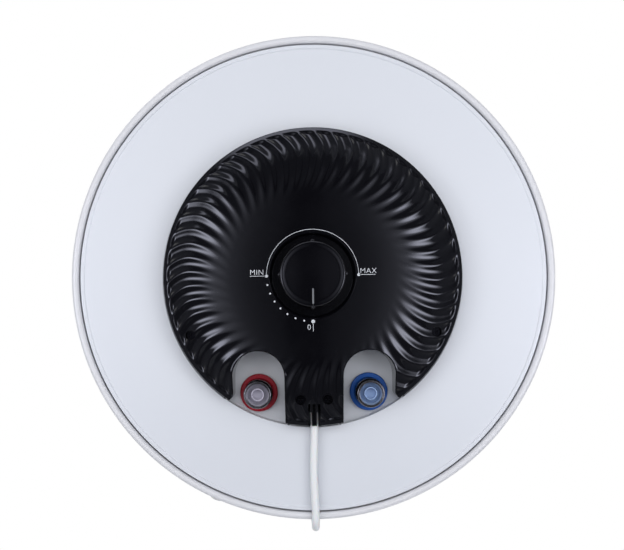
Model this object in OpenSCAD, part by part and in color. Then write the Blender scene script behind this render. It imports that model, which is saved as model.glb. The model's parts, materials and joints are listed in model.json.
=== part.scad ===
// Wall-hung tank water heater, about 50 litres, with its pipes and knob underneath.
// Millimetres. +Z is up, +Y is towards the wall, and X is to the right of someone who faces it.
// The origin lies on the wall, midway between the two hanging slots of the upper bracket.

/* [Body] */
// Outside diameter of the jacket
body_d = 440; // [430:5:480]
// Height of the jacket from hem to hem
body_h = 560; // [540:10:800]
// Thickness of the jacket's sheet
jacket_t = 0.8; // [0.6:0.1:1.2]
// Radius of the rolled hem at each end of the jacket
hem_r = 3.3; // [2.8:0.1:3.8]
// Thickness of the end caps' sheet
cap_t = 1; // [0.8:0.1:1.4]
// How far the flat of an end cap lies inside the hem
cap_inset = 2; // [1.6:0.1:3]
// Gap between an end cap's edge and the hem
seam = 1.2; // [0.6:0.1:1.6]
// Width of the bead round the edge of an end cap
bead_w = 3.6; // [3:0.2:5]
// How far the bead stands out from the flat
bead_h = 0.8; // [0.6:0.1:1.2]
// Height of the end cap's turned edge
cap_edge_h = 12; // [8:1:16]

/* [Tank] */
// Thickness of the foam round the tank
foam_t = 35; // [33:1:45]
// Thickness of the tank's wall
tank_t = 2; // [1.6:0.1:2.6]
// Height of each domed head
head_h = 40; // [34:1:46]
// Height of the tank's lowest point over the lower hem
tank_rise = 56; // [54:1:62]
// Foam over the tank's highest point
top_foam = 28; // [20:1:40]
// Diameter of the opening for the heating flange
flange_d = 90; // [88:1:96]
// Outside diameter of the flange ring and plate
flange_ring_d = 130; // [128:1:134]
// Thickness of the flange plate
plate_t = 6; // [4:0.5:8]
// Number of studs in the flange ring
stud_count = 6; // [5:1:8]
// Height of the heating element over the flange
element_l = 240; // [200:10:300]
// Depth of the pocket for the thermostat's rod
well_tube_l = 240; // [200:10:300]
// Length of the sacrificial anode
anode_l = 200; // [150:10:300]
// Diameter of the sacrificial anode
anode_d = 22; // [20:1:24]

/* [Pipes] */
// Distance between the two pipes
pipe_spacing = 100; // [98:1:104]
// Distance of the pipes behind the body's axis
pipe_back = 104.5; // [103:0.5:106]
// Outside diameter of the three-quarter inch pipe
pipe_d = 26.9; // [26.6:0.1:27.2]
// Outside diameter of its thread
thread_d = 26.44; // [26:0.02:26.5]
// Bore of the pipes
pipe_bore_d = 20.6; // [19:0.2:21]
// How far the pipes stand out from the end cap
pipe_reach = 28; // [24:1:34]
// Length of the thread
thread_l = 18; // [14:1:20]
// Diameter of the coloured collars
collar_d = 34.4; // [32:0.2:35]
// Thickness of the coloured collars
collar_h = 8; // [6:0.5:9]

/* [Cover] */
// Diameter of the cover
cover_d = 271; // [268:1:276]
// How far the crown stands out from the end cap
cover_h = 36; // [34:1:42]
// Wall of the cover in the bottom of a flute
cover_wall = 2.4; // [2:0.1:2.8]
// Number of flutes
flutes = 54; // [48:1:60]
// Depth of a flute
flute_depth = 2.6; // [1.6:0.1:3]
// Radius at which the flutes run straight outwards
flute_r0 = 107.7; // [104:0.1:110]
// Bend radius of the flutes inside that radius
flute_bend_in = 68; // [60:1:80]
// Bend radius of the flutes outside that radius
flute_bend_out = 22; // [20:0.5:26]
// Depth of the round well that the cover sits in
well_depth = 10; // [8:0.5:12]
// Gap between the cover and the wall of the well
well_gap = 1.6; // [1:0.1:2.4]
// Half the width of a pipe notch
notch_r = 23; // [22:0.2:23.6]
// Distance of the notch arches' centres behind the axis
notch_back = 88.6; // [87:0.2:90]
// Rounding of the cover's outer lobes
lobe_r = 6; // [4:0.5:8]
// Rounding of the tab's corners
tab_r = 4; // [3:0.5:5]

/* [Knob] */
// Diameter of the knob
knob_d = 56.8; // [54:0.2:60]
// How far the knob's face stands out from the crown
knob_reach = 24; // [20:1:30]
// Diameter of the recess round the knob
recess_d = 73; // [70:0.5:78]
// Depth of the recess
recess_depth = 9; // [7:0.5:11]
// Diameter of the thermostat's shaft
shaft_d = 6; // [5:0.1:8]
// Travel of the reset button
reset_travel = 2; // [1:0.1:2.5]

/* [Brackets] */
// Distance from the jacket to the wall
wall_gap = 30; // [28:1:34]
// Depth of the hanging slots under the top of the jacket
hang_drop = 100; // [90:5:120]
// Distance between the two hanging slots
slot_spacing = 120; // [100:5:130]
// Width of a hanging slot
slot_w = 11; // [9:0.5:13]
// Length of a hanging slot, end to end
slot_l = 20; // [16:1:24]
// Width of the upper bracket
bracket_w = 180; // [170:5:200]
// Height of the upper bracket
bracket_h = 60; // [50:2:70]
// Thickness of the brackets' steel
bracket_t = 3; // [2:0.5:4]
// Width of each lower stay
stay_w = 50; // [40:2:60]
// Distance between the two lower stays
stay_spacing = 120; // [110:5:130]

/* [Cord] */
// Diameter of the mains lead
cord_d = 7.2; // [6.8:0.1:7.4]

/* [Hidden] */
$fn = 96;

eps = 0.01;
seat = 0.05;             // paint between pieces that are pressed or welded together
run = 0.06;              // radial clearance of the thermostat's shaft and the reset button

body_r = body_d / 2;
axis_y = -(body_r + wall_gap);
hem_z = hang_drop - body_h;        // the lower hem, the lowest line of the jacket
hem_w = 2 * hem_r;
cap_r = body_r - hem_w - seam;     // the edge of an end cap, inside the hem
bead_z = cap_inset - bead_h;
grip_h = 2;                        // height of the lip that holds a cap in the hem
grip_gap = 0.2;

cover_r = cover_d / 2;
well_r = cover_r + well_gap;
floor_z = cap_inset + well_depth;  // underside of the well's floor
floor_top = floor_z + cap_t;
floor_hole_r = norm([pipe_spacing / 2 - 1, notch_back]) - notch_r - cover_wall - 4;

tank_r = body_r - foam_t;
shell_low = tank_rise + head_h;
shell_high = body_h - cap_inset - cap_t - top_foam - head_h;
ring_r = flange_ring_d / 2;
ring_h = 14;
ring_low = tank_rise - ring_h + 3;
gasket_t = 3;
plate_top = ring_low - gasket_t;
plate_low = plate_top - plate_t;
stud_r = 4;
stud_pcd = (flange_d + flange_ring_d) / 2;
stud_l = 18;

pipe_r = pipe_d / 2;
pipe_low = cap_inset - pipe_reach;
pipe_top = tank_rise + 24;
collar_low = floor_z - collar_h;
liner_drop = 7;                    // how far a liner's rim lies inside the pipe's end
liner_r = 6;
liner_t = 1.4;
liner_l = 40;

well_tube_r = 5;
well_tube_t = 0.8;
element_r = 4.25;
element_half = 20;
element_y = -14;
element_tail = 15;                 // how far its ends reach below the flange plate
thermowell_y = 20;
anode_y = -34;
anode_stud_r = 4;
anode_nut_d = 15;
anode_nut_h = 6;

crown_z = cap_inset - cover_h;
recess_z = crown_z + recess_depth;
knob_low = recess_z - 1;
knob_face = crown_z - knob_reach;
knob_r = knob_d / 2;
shaft_r = shaft_d / 2;
stat_low = recess_z + cover_wall + 8;
stat_h = plate_low - 2 - stat_low;

// Puts a piece on the body's axis, with its heights counted from the lower hem.
module on_axis(z = 0) {
  translate([0, axis_y, hem_z + z]) children();
}

module each_pipe(side) {
  on_axis() translate([side * pipe_spacing / 2, pipe_back, 0]) children();
}

// ---- shells -------------------------------------------------------------

module hem_profile(z, up) {
  translate([body_r - hem_r, z]) intersection() {
    difference() {
      circle(r = hem_r);
      circle(r = hem_r - jacket_t);
    }
    translate([-hem_r, up > 0 ? -hem_r : 0]) square([hem_w, hem_r]);
  }
}

module outer_jacket() {
  lip = cap_edge_h;
  color("whitesmoke") on_axis() rotate_extrude($fn = 180) {
    translate([body_r - jacket_t, hem_r]) square([jacket_t, body_h - hem_w]);
    hem_profile(hem_r, 1);
    hem_profile(body_h - hem_r, -1);
    translate([body_r - hem_w, hem_r]) square([jacket_t, lip]);
    translate([body_r - hem_w, body_h - hem_r - lip]) square([jacket_t, lip]);
  }
}

// Half section of an end cap from its turned edge in to radius inner, drawn for the lower end.
module cap_profile(inner) {
  edge_low = bead_z + cap_t;
  translate([cap_r - cap_t, edge_low]) square([cap_t, cap_edge_h]);
  translate([cap_r - cap_t, edge_low]) intersection() {
    circle(r = cap_t);
    translate([0, -cap_t]) square(cap_t);
  }
  translate([cap_r - cap_t, edge_low + cap_edge_h - grip_h])
    square([cap_t + seam - grip_gap, grip_h]);
  translate([cap_r - bead_w, bead_z]) square([bead_w - cap_t, cap_t]);
  polygon([[cap_r - bead_w, bead_z], [cap_r - bead_w, bead_z + cap_t],
           [cap_r - bead_w - bead_h, cap_inset + cap_t], [cap_r - bead_w - bead_h, cap_inset]]);
  translate([inner, cap_inset]) square([cap_r - bead_w - bead_h - inner, cap_t]);
}

module bottom_cap() {
  corner = 2;
  color("gainsboro") on_axis() difference() {
    rotate_extrude($fn = 180) {
      cap_profile(well_r + corner);
      translate([well_r + corner, cap_inset + corner]) intersection() {
        difference() {
          circle(r = corner);
          circle(r = corner - cap_t);
        }
        translate([-corner, -corner]) square(corner);
      }
      translate([well_r, cap_inset + corner]) square([cap_t, well_depth - corner + cap_t]);
      translate([floor_hole_r, floor_z]) square([well_r - floor_hole_r + eps, cap_t]);
    }
    for (side = [-1, 1])
      translate([side * pipe_spacing / 2, pipe_back, floor_z - 1])
        cylinder(r = pipe_r + 1.5, h = cap_t + 2);
  }
}

module top_cap() {
  color("gainsboro") on_axis(body_h) mirror([0, 0, 1]) rotate_extrude($fn = 180)
    cap_profile(0);
}

// ---- tank ---------------------------------------------------------------

// Half section of the tank's outside, grown by g.
module tank_profile(g = 0) {
  r = tank_r + g;
  h = head_h + g;
  steps = 24;
  polygon(concat(
    [for (i = [0 : steps]) [r * sin(90 * i / steps), shell_low - h * cos(90 * i / steps)]],
    [for (i = [0 : steps]) [r * cos(90 * i / steps), shell_high + h * sin(90 * i / steps)]]));
}

module foam_insulation() {
  clear = 0.3;
  low = floor_top + clear;
  high = body_h - cap_inset - cap_t - clear;
  color("khaki") on_axis() difference() {
    union() {
      translate([0, 0, low])
        cylinder(r = body_r - hem_w - clear, h = high - low, $fn = 180);
      translate([0, 0, cap_edge_h + hem_w])
        cylinder(r = body_r - jacket_t - clear, h = body_h - 2 * (cap_edge_h + hem_w), $fn = 180);
    }
    rotate_extrude($fn = 120) tank_profile(clear);
    translate([0, 0, low - 1]) cylinder(r = floor_hole_r, h = shell_low - low);
    translate([0, 0, -1]) difference() {
      cylinder(r = body_r - hem_w - clear + 1, h = cap_edge_h + hem_w + 1);
      cylinder(r = cap_r - cap_t - clear, h = cap_edge_h + hem_w + 2, $fn = 180);
    }
    translate([0, 0, body_h - cap_edge_h - hem_w]) difference() {
      cylinder(r = body_r - hem_w - clear + 1, h = cap_edge_h + hem_w);
      translate([0, 0, -1])
        cylinder(r = cap_r - cap_t - clear, h = cap_edge_h + hem_w + 2, $fn = 180);
    }
    for (side = [-1, 1])
      translate([side * pipe_spacing / 2, pipe_back, low - 1])
        cylinder(r = pipe_r + 1.5, h = shell_low - low);
  }
}

module inner_tank() {
  color("steelblue") on_axis() difference() {
    rotate_extrude($fn = 120) difference() {
      tank_profile();
      tank_profile(-tank_t);
    }
    translate([0, 0, tank_rise - 1]) cylinder(r = ring_r + seat, h = head_h);
    for (side = [-1, 1])
      translate([side * pipe_spacing / 2, pipe_back, tank_rise])
        cylinder(r = pipe_r + seat, h = head_h);
  }
}

module stud_places() {
  for (i = [0 : stud_count - 1])
    rotate(360 * (i + 0.5) / stud_count) translate([stud_pcd / 2, 0, 0]) children();
}

module tank_flange() {
  color("slategray") on_axis() {
    difference() {
      translate([0, 0, ring_low]) cylinder(r = ring_r, h = ring_h);
      translate([0, 0, ring_low - 1]) cylinder(d = flange_d, h = ring_h + 2);
    }
    stud_places() translate([0, 0, ring_low - stud_l])
      cylinder(r = stud_r, h = stud_l + ring_h / 2, $fn = 32);
  }
}

module flange_disc(z, t) {
  difference() {
    translate([0, 0, z]) cylinder(r = ring_r, h = t);
    stud_places() translate([0, 0, z - 1]) cylinder(r = stud_r + 0.4, h = t + 2, $fn = 32);
  }
}

module flange_gasket() {
  color("black") on_axis() difference() {
    flange_disc(plate_top, gasket_t);
    translate([0, 0, plate_top - 1]) cylinder(d = flange_d - 8, h = gasket_t + 2);
  }
}

module flange_plate() {
  color("silver") on_axis() difference() {
    flange_disc(plate_low, plate_t);
    for (side = [-1, 1])
      translate([side * element_half, element_y, plate_low - 1])
        cylinder(r = element_r + seat, h = plate_t + 2, $fn = 48);
    translate([0, thermowell_y, plate_low - 1])
      cylinder(r = well_tube_r + seat, h = plate_t + 2, $fn = 48);
    translate([0, anode_y, plate_low - 1])
      cylinder(r = anode_stud_r + seat, h = plate_t + 2, $fn = 32);
  }
}

module flange_nuts() {
  nut_h = 6.5;
  color("silver") on_axis() stud_places() translate([0, 0, plate_low - nut_h]) difference() {
    cylinder(d = 15, h = nut_h, $fn = 6);
    translate([0, 0, -1]) cylinder(r = stud_r + seat, h = nut_h + 2, $fn = 32);
  }
}

// ---- what the flange carries --------------------------------------------

module heating_element() {
  blade = 7;
  low = plate_low - element_tail + blade;
  color("darkgray") on_axis() {
    for (side = [-1, 1]) translate([side * element_half, element_y, low]) {
      cylinder(r = element_r, h = plate_top + element_l - low, $fn = 32);
      translate([-3, -0.5, -blade]) cube([6, 1, blade + eps]);
    }
    translate([0, element_y, plate_top + element_l]) rotate([90, 0, 0])
      rotate_extrude(angle = 180, $fn = 64) translate([element_half, 0])
        circle(r = element_r, $fn = 32);
  }
}

module anode_rod() {
  neck = 5;
  tail = anode_nut_h + 3;
  color("lightgray") on_axis() translate([0, anode_y, 0]) {
    translate([0, 0, plate_low - tail])
      cylinder(r = anode_stud_r, h = tail + plate_t + neck + 1, $fn = 32);
    translate([0, 0, plate_top + neck]) cylinder(d = anode_d, h = anode_l, $fn = 48);
    translate([0, 0, plate_low - anode_nut_h]) cylinder(d = anode_nut_d, h = anode_nut_h, $fn = 6);
  }
}

module thermowell() {
  color("silver") on_axis() translate([0, thermowell_y, plate_low]) difference() {
    cylinder(r = well_tube_r, h = plate_t + well_tube_l, $fn = 48);
    translate([0, 0, -1])
      cylinder(r = well_tube_r - well_tube_t, h = plate_t + well_tube_l - 1, $fn = 48);
  }
}

stat_w = 58;
stat_front = 26;
stat_back = 34;
reset_x = 19;
reset_y = -14;
reset_r = 3.5;
reset_proud = 5;

module thermostat_body() {
  color("ivory") on_axis() difference() {
    union() {
      translate([-stat_w / 2, -stat_front, stat_low + 6])
        cube([stat_w, stat_front + stat_back, stat_h - 6]);
      translate([0, 0, stat_low]) cylinder(r = 15, h = 8);
      translate([reset_x, reset_y, stat_low + 2]) cylinder(r = reset_r + 2.5, h = 6);
    }
    translate([0, 0, stat_low - 1]) cylinder(r = shaft_r + run, h = 19, $fn = 64);
    translate([reset_x, reset_y, stat_low - 1])
      cylinder(r = reset_r + run, h = 12 + reset_travel, $fn = 48);
    for (side = [-1, 1]) translate([side * (stat_w / 2 - 8), stat_back - 8, stat_low + 5])
      cylinder(r = 2.2, h = 8, $fn = 24);
    for (side = [-1, 1])
      translate([side * element_half, element_y, plate_low - element_tail - 2])
        cylinder(r = element_r + 4, h = element_tail + 4);
    translate([0, anode_y, plate_low - anode_nut_h - 12])
      cylinder(d = anode_nut_d + 5, h = anode_nut_h + 14);
  }
}

module thermostat_rod() {
  low = stat_low + stat_h;
  color("peru") on_axis() translate([0, thermowell_y, low])
    cylinder(r = well_tube_r - well_tube_t - 0.4, h = plate_top + well_tube_l - 12 - low, $fn = 32);
}

module thermostat_shaft() {
  flat = shaft_r * 0.5;
  high = stat_low + 17;
  color("gray") on_axis() difference() {
    translate([0, 0, knob_face + 6]) cylinder(r = shaft_r, h = high - knob_face - 6, $fn = 64);
    translate([-shaft_r, flat, knob_face + 5])
      cube([shaft_d, shaft_d, stat_low - 2 - knob_face - 5]);
  }
}

module reset_button() {
  low = stat_low + 2 - reset_proud;
  color("crimson") on_axis() translate([reset_x, reset_y, 0]) {
    translate([0, 0, low]) cylinder(r = reset_r, h = reset_proud + 7, $fn = 48);
  }
}

module terminal_block() {
  pitch = 9;
  deep = 14;
  tall = 16;
  color("ivory") on_axis() translate([0, stat_back + seat, stat_low + 9]) difference() {
    translate([-1.5 * pitch - 2, 0, 0]) cube([3 * pitch + 4, deep, tall]);
    for (i = [-1 : 1]) {
      translate([i * pitch, deep / 2, -1]) cylinder(r = 2.6, h = 9, $fn = 32);
      translate([i * pitch, -1, tall - 5]) rotate([-90, 0, 0])
        cylinder(r = 1.6, h = deep + 2, $fn = 24);
    }
  }
}

module earth_stud() {
  color("goldenrod") on_axis() translate([floor_hole_r + 10, 0, floor_z]) {
    translate([0, 0, -10]) cylinder(r = 2, h = 10, $fn = 32);
    translate([0, 0, -4]) difference() {
      cylinder(d = 8.1, h = 3.2, $fn = 6);
      translate([0, 0, -1]) cylinder(r = 2 + seat, h = 6, $fn = 32);
    }
    translate([0, 0, -0.8]) difference() {
      cylinder(r = 4.5, h = 0.8, $fn = 32);
      translate([0, 0, -1]) cylinder(r = 2 + seat, h = 3, $fn = 32);
    }
  }
}

module cord_clamp() {
  color("dimgray") on_axis() translate([0, clamp_back, 0]) {
    difference() {
      translate([-15, -5, cord_z - 1]) cube([30, 10, floor_z - cord_z + 1]);
      translate([0, -6, cord_z]) rotate([-90, 0, 0]) cylinder(d = cord_d + 0.6, h = 12, $fn = 48);
    }
    difference() {
      translate([-15, -5, cord_z - 6.5]) cube([30, 10, 5]);
      translate([0, -6, cord_z]) rotate([-90, 0, 0]) cylinder(d = cord_d + 0.6, h = 12, $fn = 48);
    }
    for (side = [-1, 1]) translate([side * 10.5, 0, cord_z - 9]) cylinder(r = 3.4, h = 2.5, $fn = 32);
  }
}

// ---- pipes --------------------------------------------------------------

module nipple(side) {
  chamfer = 1.2;
  color("silver") each_pipe(side) rotate_extrude()
    polygon([[pipe_bore_d / 2, pipe_low + 0.6], [pipe_bore_d / 2 + 0.6, pipe_low],
             [thread_d / 2 - chamfer, pipe_low], [thread_d / 2, pipe_low + chamfer],
             [thread_d / 2, pipe_low + thread_l], [pipe_r, pipe_low + thread_l + 0.3],
             [pipe_r, pipe_top], [pipe_bore_d / 2, pipe_top]]);
}

module hot_nipple() { nipple(-1); }
module cold_nipple() { nipple(1); }

// A plastic liner: a cone from the pipe's bore in to a short tube, which runs on inside the pipe.
module liner(side) {
  low = pipe_low + liner_drop;
  wide = pipe_bore_d / 2 - seat;
  color("white") each_pipe(side) rotate_extrude()
    polygon([[liner_r - liner_t, low - 3], [liner_r, low - 3], [liner_r, low + 4],
             [wide - 1.2, low + 7], [wide - 1.2, low], [wide, low], [wide, low + liner_l],
             [wide - 1.2, low + liner_l], [wide - 1.2, low + 9.5],
             [liner_r - liner_t, low + 6]]);
}

module hot_liner() { liner(-1); }
module cold_liner() { liner(1); }

module collar(side, shade) {
  color(shade) each_pipe(side) difference() {
    rotate_extrude() difference() {
      union() {
        translate([0, collar_low]) square([collar_d / 2, collar_h]);
        translate([0, floor_z - eps]) square([pipe_r + 1.3, 8]);
      }
      translate([collar_d / 2 - 1, collar_low - 1]) polygon([[0, 1], [1, 2], [2, 2], [2, 0], [0, 0]]);
    }
    translate([0, 0, collar_low - 1]) cylinder(r = pipe_r + seat, h = collar_h + 12);
  }
}

module hot_collar() { collar(-1, "firebrick"); }
module cold_collar() { collar(1, "royalblue"); }

module hot_outlet_tube() {
  r = 8;
  t = 1;
  high = shell_high + head_h - tank_t - 30;
  color("silver") each_pipe(-1) difference() {
    union() {
      translate([0, 0, pipe_top]) cylinder(r = r, h = high - pipe_top, $fn = 48);
      translate([0, 0, pipe_top]) cylinder(r = pipe_r, h = 3);
    }
    translate([0, 0, pipe_top - 1]) cylinder(r = r - t, h = high - pipe_top + 2, $fn = 48);
  }
}

module cold_diffuser() {
  lap = 8;                           // how far it reaches down over the pipe's end
  high = 34;
  wall = 2;
  slot = 6;
  color("white") each_pipe(1) translate([0, 0, pipe_top - lap]) difference() {
    cylinder(r = pipe_r + 0.3 + wall, h = lap + high);
    translate([0, 0, -1]) cylinder(r = pipe_r + 0.3, h = lap + high + 1 - wall);
    for (i = [0 : 3]) rotate(45 * i) translate([-pipe_d, -slot / 2, lap + 6])
      cube([2 * pipe_d, slot, high - 6 - 2 * wall]);
  }
}

// ---- cover --------------------------------------------------------------

dome_p = 4.5;
dome_q = 0.45;
flute_steps = 4;                 // points round one flute
flute_start = 0.42;              // place of the first crest, as a share of a flute
crest_soft = 0.5;                // how blunt a crest is: 0 is a sharp edge
flute_fade_r = cover_r * 0.53;   // where the flutes have faded into the crown
flute_full_r = cover_r * 0.98;   // where they reach their full depth
rim_rings = 11;

function smooth(x) = let (t = min(1, max(0, x))) t * t * (3 - 2 * t);
function dome(r, big_r = cover_r, h = cover_h) =
  h * pow(max(0, 1 - pow(min(1, r / big_r), dome_p)), dome_q);
function dome_slope(r) = (dome(min(r + 0.05, cover_r)) - dome(r - 0.05)) / 0.1;
function flute_turn(r) =
  let (d = r - flute_r0, bend = d < 0 ? flute_bend_in : flute_bend_out)
  d * d / (2 * bend) / r * 180 / PI;
function flute_share(r) =
  smooth((r - flute_fade_r) / (flute_full_r - flute_fade_r)) * smooth((cover_r - r) / 3);
function rim_radius(i) = cover_r - (cover_r - flute_fade_r) * pow(i / rim_rings, 1.8);
// Share of the depth that is cut away at column j: none on a crest, all in a hollow.
function flute_wave(j) =
  (norm([sin(180 * j / flute_steps), crest_soft]) - crest_soft) / (norm([1, crest_soft]) - crest_soft);
function column_angle(j) = 360 * (j / flute_steps + flute_start) / flutes;

// One point of the fluted skin: ring radius r, column j.
function skin_point(r, j) =
  let (s = dome_slope(r), n = sqrt(1 + s * s),
       cut = flute_depth * flute_share(r) * flute_wave(j),
       a = column_angle(j) - flute_turn(r),
       rr = r + cut * s / n)
  [rr * cos(a), rr * sin(a), cap_inset - dome(r) + cut / n];

module fluted_skin() {
  m = flutes * flute_steps;
  radii = concat([for (i = [0 : rim_rings]) rim_radius(i)], [recess_d / 2 + 12]);
  rings = len(radii) + 1;
  turn = flute_turn(cover_r);
  points = concat(
    [for (j = [0 : m - 1]) let (a = column_angle(j) - turn)
      [cover_r * cos(a), cover_r * sin(a), floor_z]],
    [for (r = radii, j = [0 : m - 1]) skin_point(r, j)],
    [[0, 0, crown_z]]);
  polyhedron(points, concat(
    [[for (j = [m - 1 : -1 : 0]) j]],
    [for (i = [0 : rings - 2], j = [0 : m - 1]) let (k = (j + 1) % m)
      each [[i * m + j, i * m + k, (i + 1) * m + j], [i * m + k, (i + 1) * m + k, (i + 1) * m + j]]],
    [for (j = [0 : m - 1]) [(rings - 1) * m + j, (rings - 1) * m + (j + 1) % m, rings * m]]));
}

// Plan of one pipe notch, grown by g: an arch that runs out through the cover's edge.
module notch_plan(g = 0) {
  mid = pipe_spacing / 2 - 1;
  out = mid + notch_r + g;
  in = mid - notch_r - g;
  lobe = max(0.5, lobe_r - g);
  tab = max(0.5, tab_r - g);
  lobe_y = sqrt(pow(cover_r - lobe, 2) - pow(out + lobe, 2));
  tab_y = sqrt(pow(cover_r - tab, 2) - pow(in - tab, 2));
  lobe_end = atan2(lobe_y, out + lobe);
  tab_end = atan2(tab_y, in - tab);
  far = 2 * cover_r;
  steps = 8;
  polygon(concat(
    [for (i = [0 : 4 * steps]) [mid + (notch_r + g) * cos(180 + 180 * i / (4 * steps)),
                                notch_back + (notch_r + g) * sin(180 + 180 * i / (4 * steps))]],
    [for (i = [0 : steps]) let (a = 180 + (lobe_end - 180) * i / steps)
      [out + lobe + lobe * cos(a), lobe_y + lobe * sin(a)]],
    [[far * cos(lobe_end), far * sin(lobe_end)], [in - tab, far]],
    [for (i = [steps : -1 : 0]) let (a = tab_end * i / steps)
      [in - tab + tab * cos(a), tab_y + tab * sin(a)]]));
}

screw_places = [[-109, 51], [109, 51], [-12, 109], [12, 109]];
screw_sink = 9;          // depth of the recess over a screw's head
sink_r = 4.6;
boss_r = 7;
screw_r = 2.1;
boss_floor = 3;
screw_grip = 12;         // how far a screw reaches into its post
post_r = 5.5;
function screw_z(p) = cap_inset - dome(norm(p)) + screw_sink;

module cover_cavity() {
  limit = recess_z + cover_wall;
  in_r = cover_r - cover_wall - 1.1;
  in_h = cover_h - cover_wall - flute_depth;
  steps = 16;
  difference() {
    rotate_extrude() polygon(concat(
      [[0, floor_z + 1], [0, limit], [recess_d / 2 + cover_wall, limit]],
      [for (i = [0 : steps])
        let (r = recess_d / 2 + cover_wall
               + (in_r - recess_d / 2 - cover_wall) * (1 - pow(1 - i / steps, 2)))
        [r, cap_inset - dome(r, in_r, in_h)]],
      [[in_r, floor_z + 1]]));
    for (side = [0, 1]) mirror([side, 0, 0]) translate([0, 0, crown_z])
      linear_extrude(cover_h + well_depth + 4) notch_plan(cover_wall);
    for (p = screw_places) translate([p[0], p[1], crown_z - 1])
      cylinder(r = boss_r, h = screw_z(p) + boss_floor - crown_z + 1, $fn = 48);
  }
}

// The slot in the tab's end that the gland fills.
module gland_slot(g = 0) {
  translate([0, 0, crown_z - 1]) linear_extrude(gland_top - crown_z + 1 + g)
    polygon([[-gland_r0 - g, gland_in], [gland_r0 + g, gland_in],
             [gland_r1 + g, cover_r + 2], [-gland_r1 - g, cover_r + 2]]);
}

module service_cover() {
  color("black") on_axis() difference() {
    fluted_skin();
    cover_cavity();
    for (side = [0, 1]) mirror([side, 0, 0]) translate([0, 0, crown_z - 1])
      linear_extrude(cover_h + well_depth + 4) notch_plan();
    translate([0, 0, crown_z - 1]) cylinder(d = recess_d, h = recess_depth + 1);
    translate([0, 0, crown_z]) cylinder(r = hub_r + 1.5, h = recess_depth + 10);
    for (p = screw_places) translate([p[0], p[1], crown_z - 1]) {
      cylinder(r = sink_r, h = screw_z(p) - crown_z + 1, $fn = 48);
      cylinder(r = screw_r + 0.2, h = cover_h + well_depth, $fn = 32);
    }
    gland_slot(0.3);
  }
}

module cover_posts() {
  color("gainsboro") on_axis() for (p = screw_places) {
    low = screw_z(p) + boss_floor;
    translate([p[0], p[1], low]) difference() {
      cylinder(r = post_r, h = floor_z - low, $fn = 48);
      translate([0, 0, -1]) cylinder(r = screw_r + seat, h = screw_grip + 3, $fn = 32);
    }
  }
}

module cover_screws() {
  head_t = 2.6;
  head_r = sink_r - 0.7;
  cross_w = 0.9;
  cross_l = 4.4;
  cross_deep = 1.4;
  color("dimgray") on_axis() for (p = screw_places) translate([p[0], p[1], screw_z(p)]) {
    difference() {
      translate([0, 0, -head_t]) cylinder(r = head_r, h = head_t, $fn = 48);
      for (a = [0, 90]) rotate(a) translate([-cross_l / 2, -cross_w / 2, -head_t - 1])
        cube([cross_l, cross_w, 1 + cross_deep]);
    }
    cylinder(r = screw_r, h = boss_floor + screw_grip, $fn = 32);
  }
}

// ---- knob ---------------------------------------------------------------

hub_r = 7.5;
grip_r = 2;

module thermostat_knob() {
  skin = 2.4;
  edge = 1.6;
  taper = 0.6;
  color("black") on_axis() {
    rotate_extrude() polygon([
      [shaft_r + seat, knob_low + 6], [shaft_r + seat, knob_face + 5], [0, knob_face + 5],
      [0, knob_face], [knob_r - edge - taper, knob_face], [knob_r - taper - edge * 0.3, knob_face + edge * 0.3],
      [knob_r - taper, knob_face + edge], [knob_r, knob_low], [knob_r - skin, knob_low],
      [knob_r - skin - taper, knob_face + 4], [hub_r, knob_face + 4], [hub_r, knob_low + 6]]);
    for (i = [0 : 3]) rotate(90 * i) translate([knob_r - 0.6, 0, knob_face + 3])
      cylinder(r = grip_r, h = knob_low - knob_face - 3, $fn = 24);
  }
}

module knob_pointer() {
  color("gray") on_axis() translate([-0.8, knob_r * 0.47, knob_face - 0.4])
    cube([1.6, knob_r * 0.46, 0.4]);
}

// ---- brackets -----------------------------------------------------------

// A steel channel that is open towards the jacket, with feet that follow it.
module channel(w, h, x) {
  foot = 14;
  translate([x - w / 2, -bracket_t, -h / 2]) cube([w, bracket_t, h]);
  difference() {
    for (z = [-h / 2, h / 2 - bracket_t])
      translate([x - w / 2, -wall_gap - body_r / 3, z]) cube([w, wall_gap + body_r / 3, bracket_t]);
    translate([0, axis_y, -h]) cylinder(r = body_r + seat, h = 2 * h, $fn = 180);
  }
  intersection() {
    translate([0, axis_y, -h]) difference() {
      cylinder(r = body_r + seat + 2, h = 2 * h, $fn = 180);
      translate([0, 0, -1]) cylinder(r = body_r + seat, h = 2 * h + 2, $fn = 180);
    }
    union() for (z = [-h / 2 - foot, h / 2 - bracket_t])
      translate([x - w / 2, axis_y, z]) cube([w, body_r + wall_gap, foot + bracket_t]);
  }
}

module wall_bracket() {
  color("silver") difference() {
    channel(bracket_w, bracket_h, 0);
    for (side = [-1, 1]) translate([side * slot_spacing / 2, 0, 0]) rotate([90, 0, 0]) {
      for (end = [-1, 1]) translate([end * (slot_l - slot_w) / 2, 0, -1])
        cylinder(d = slot_w, h = bracket_t + 2, $fn = 48);
      translate([-(slot_l - slot_w) / 2, -slot_w / 2, -1])
        cube([slot_l - slot_w, slot_w, bracket_t + 2]);
    }
  }
}

stay_h = 50;
stay_top = -185;         // the ledge that the coil of lead stands on

module lower_stays() {
  color("silver") for (side = [-1, 1]) translate([0, 0, stay_top - stay_h / 2])
    channel(stay_w, stay_h, side * stay_spacing / 2);
}

// ---- mains lead ---------------------------------------------------------

cord_r = cord_d / 2;
cord_z = -4;             // height of the lead over the hem where it leaves the gland
clamp_back = 92;
gland_in = 119;
gland_r0 = 5;
gland_r1 = 7.8;
gland_top = 6;

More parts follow.
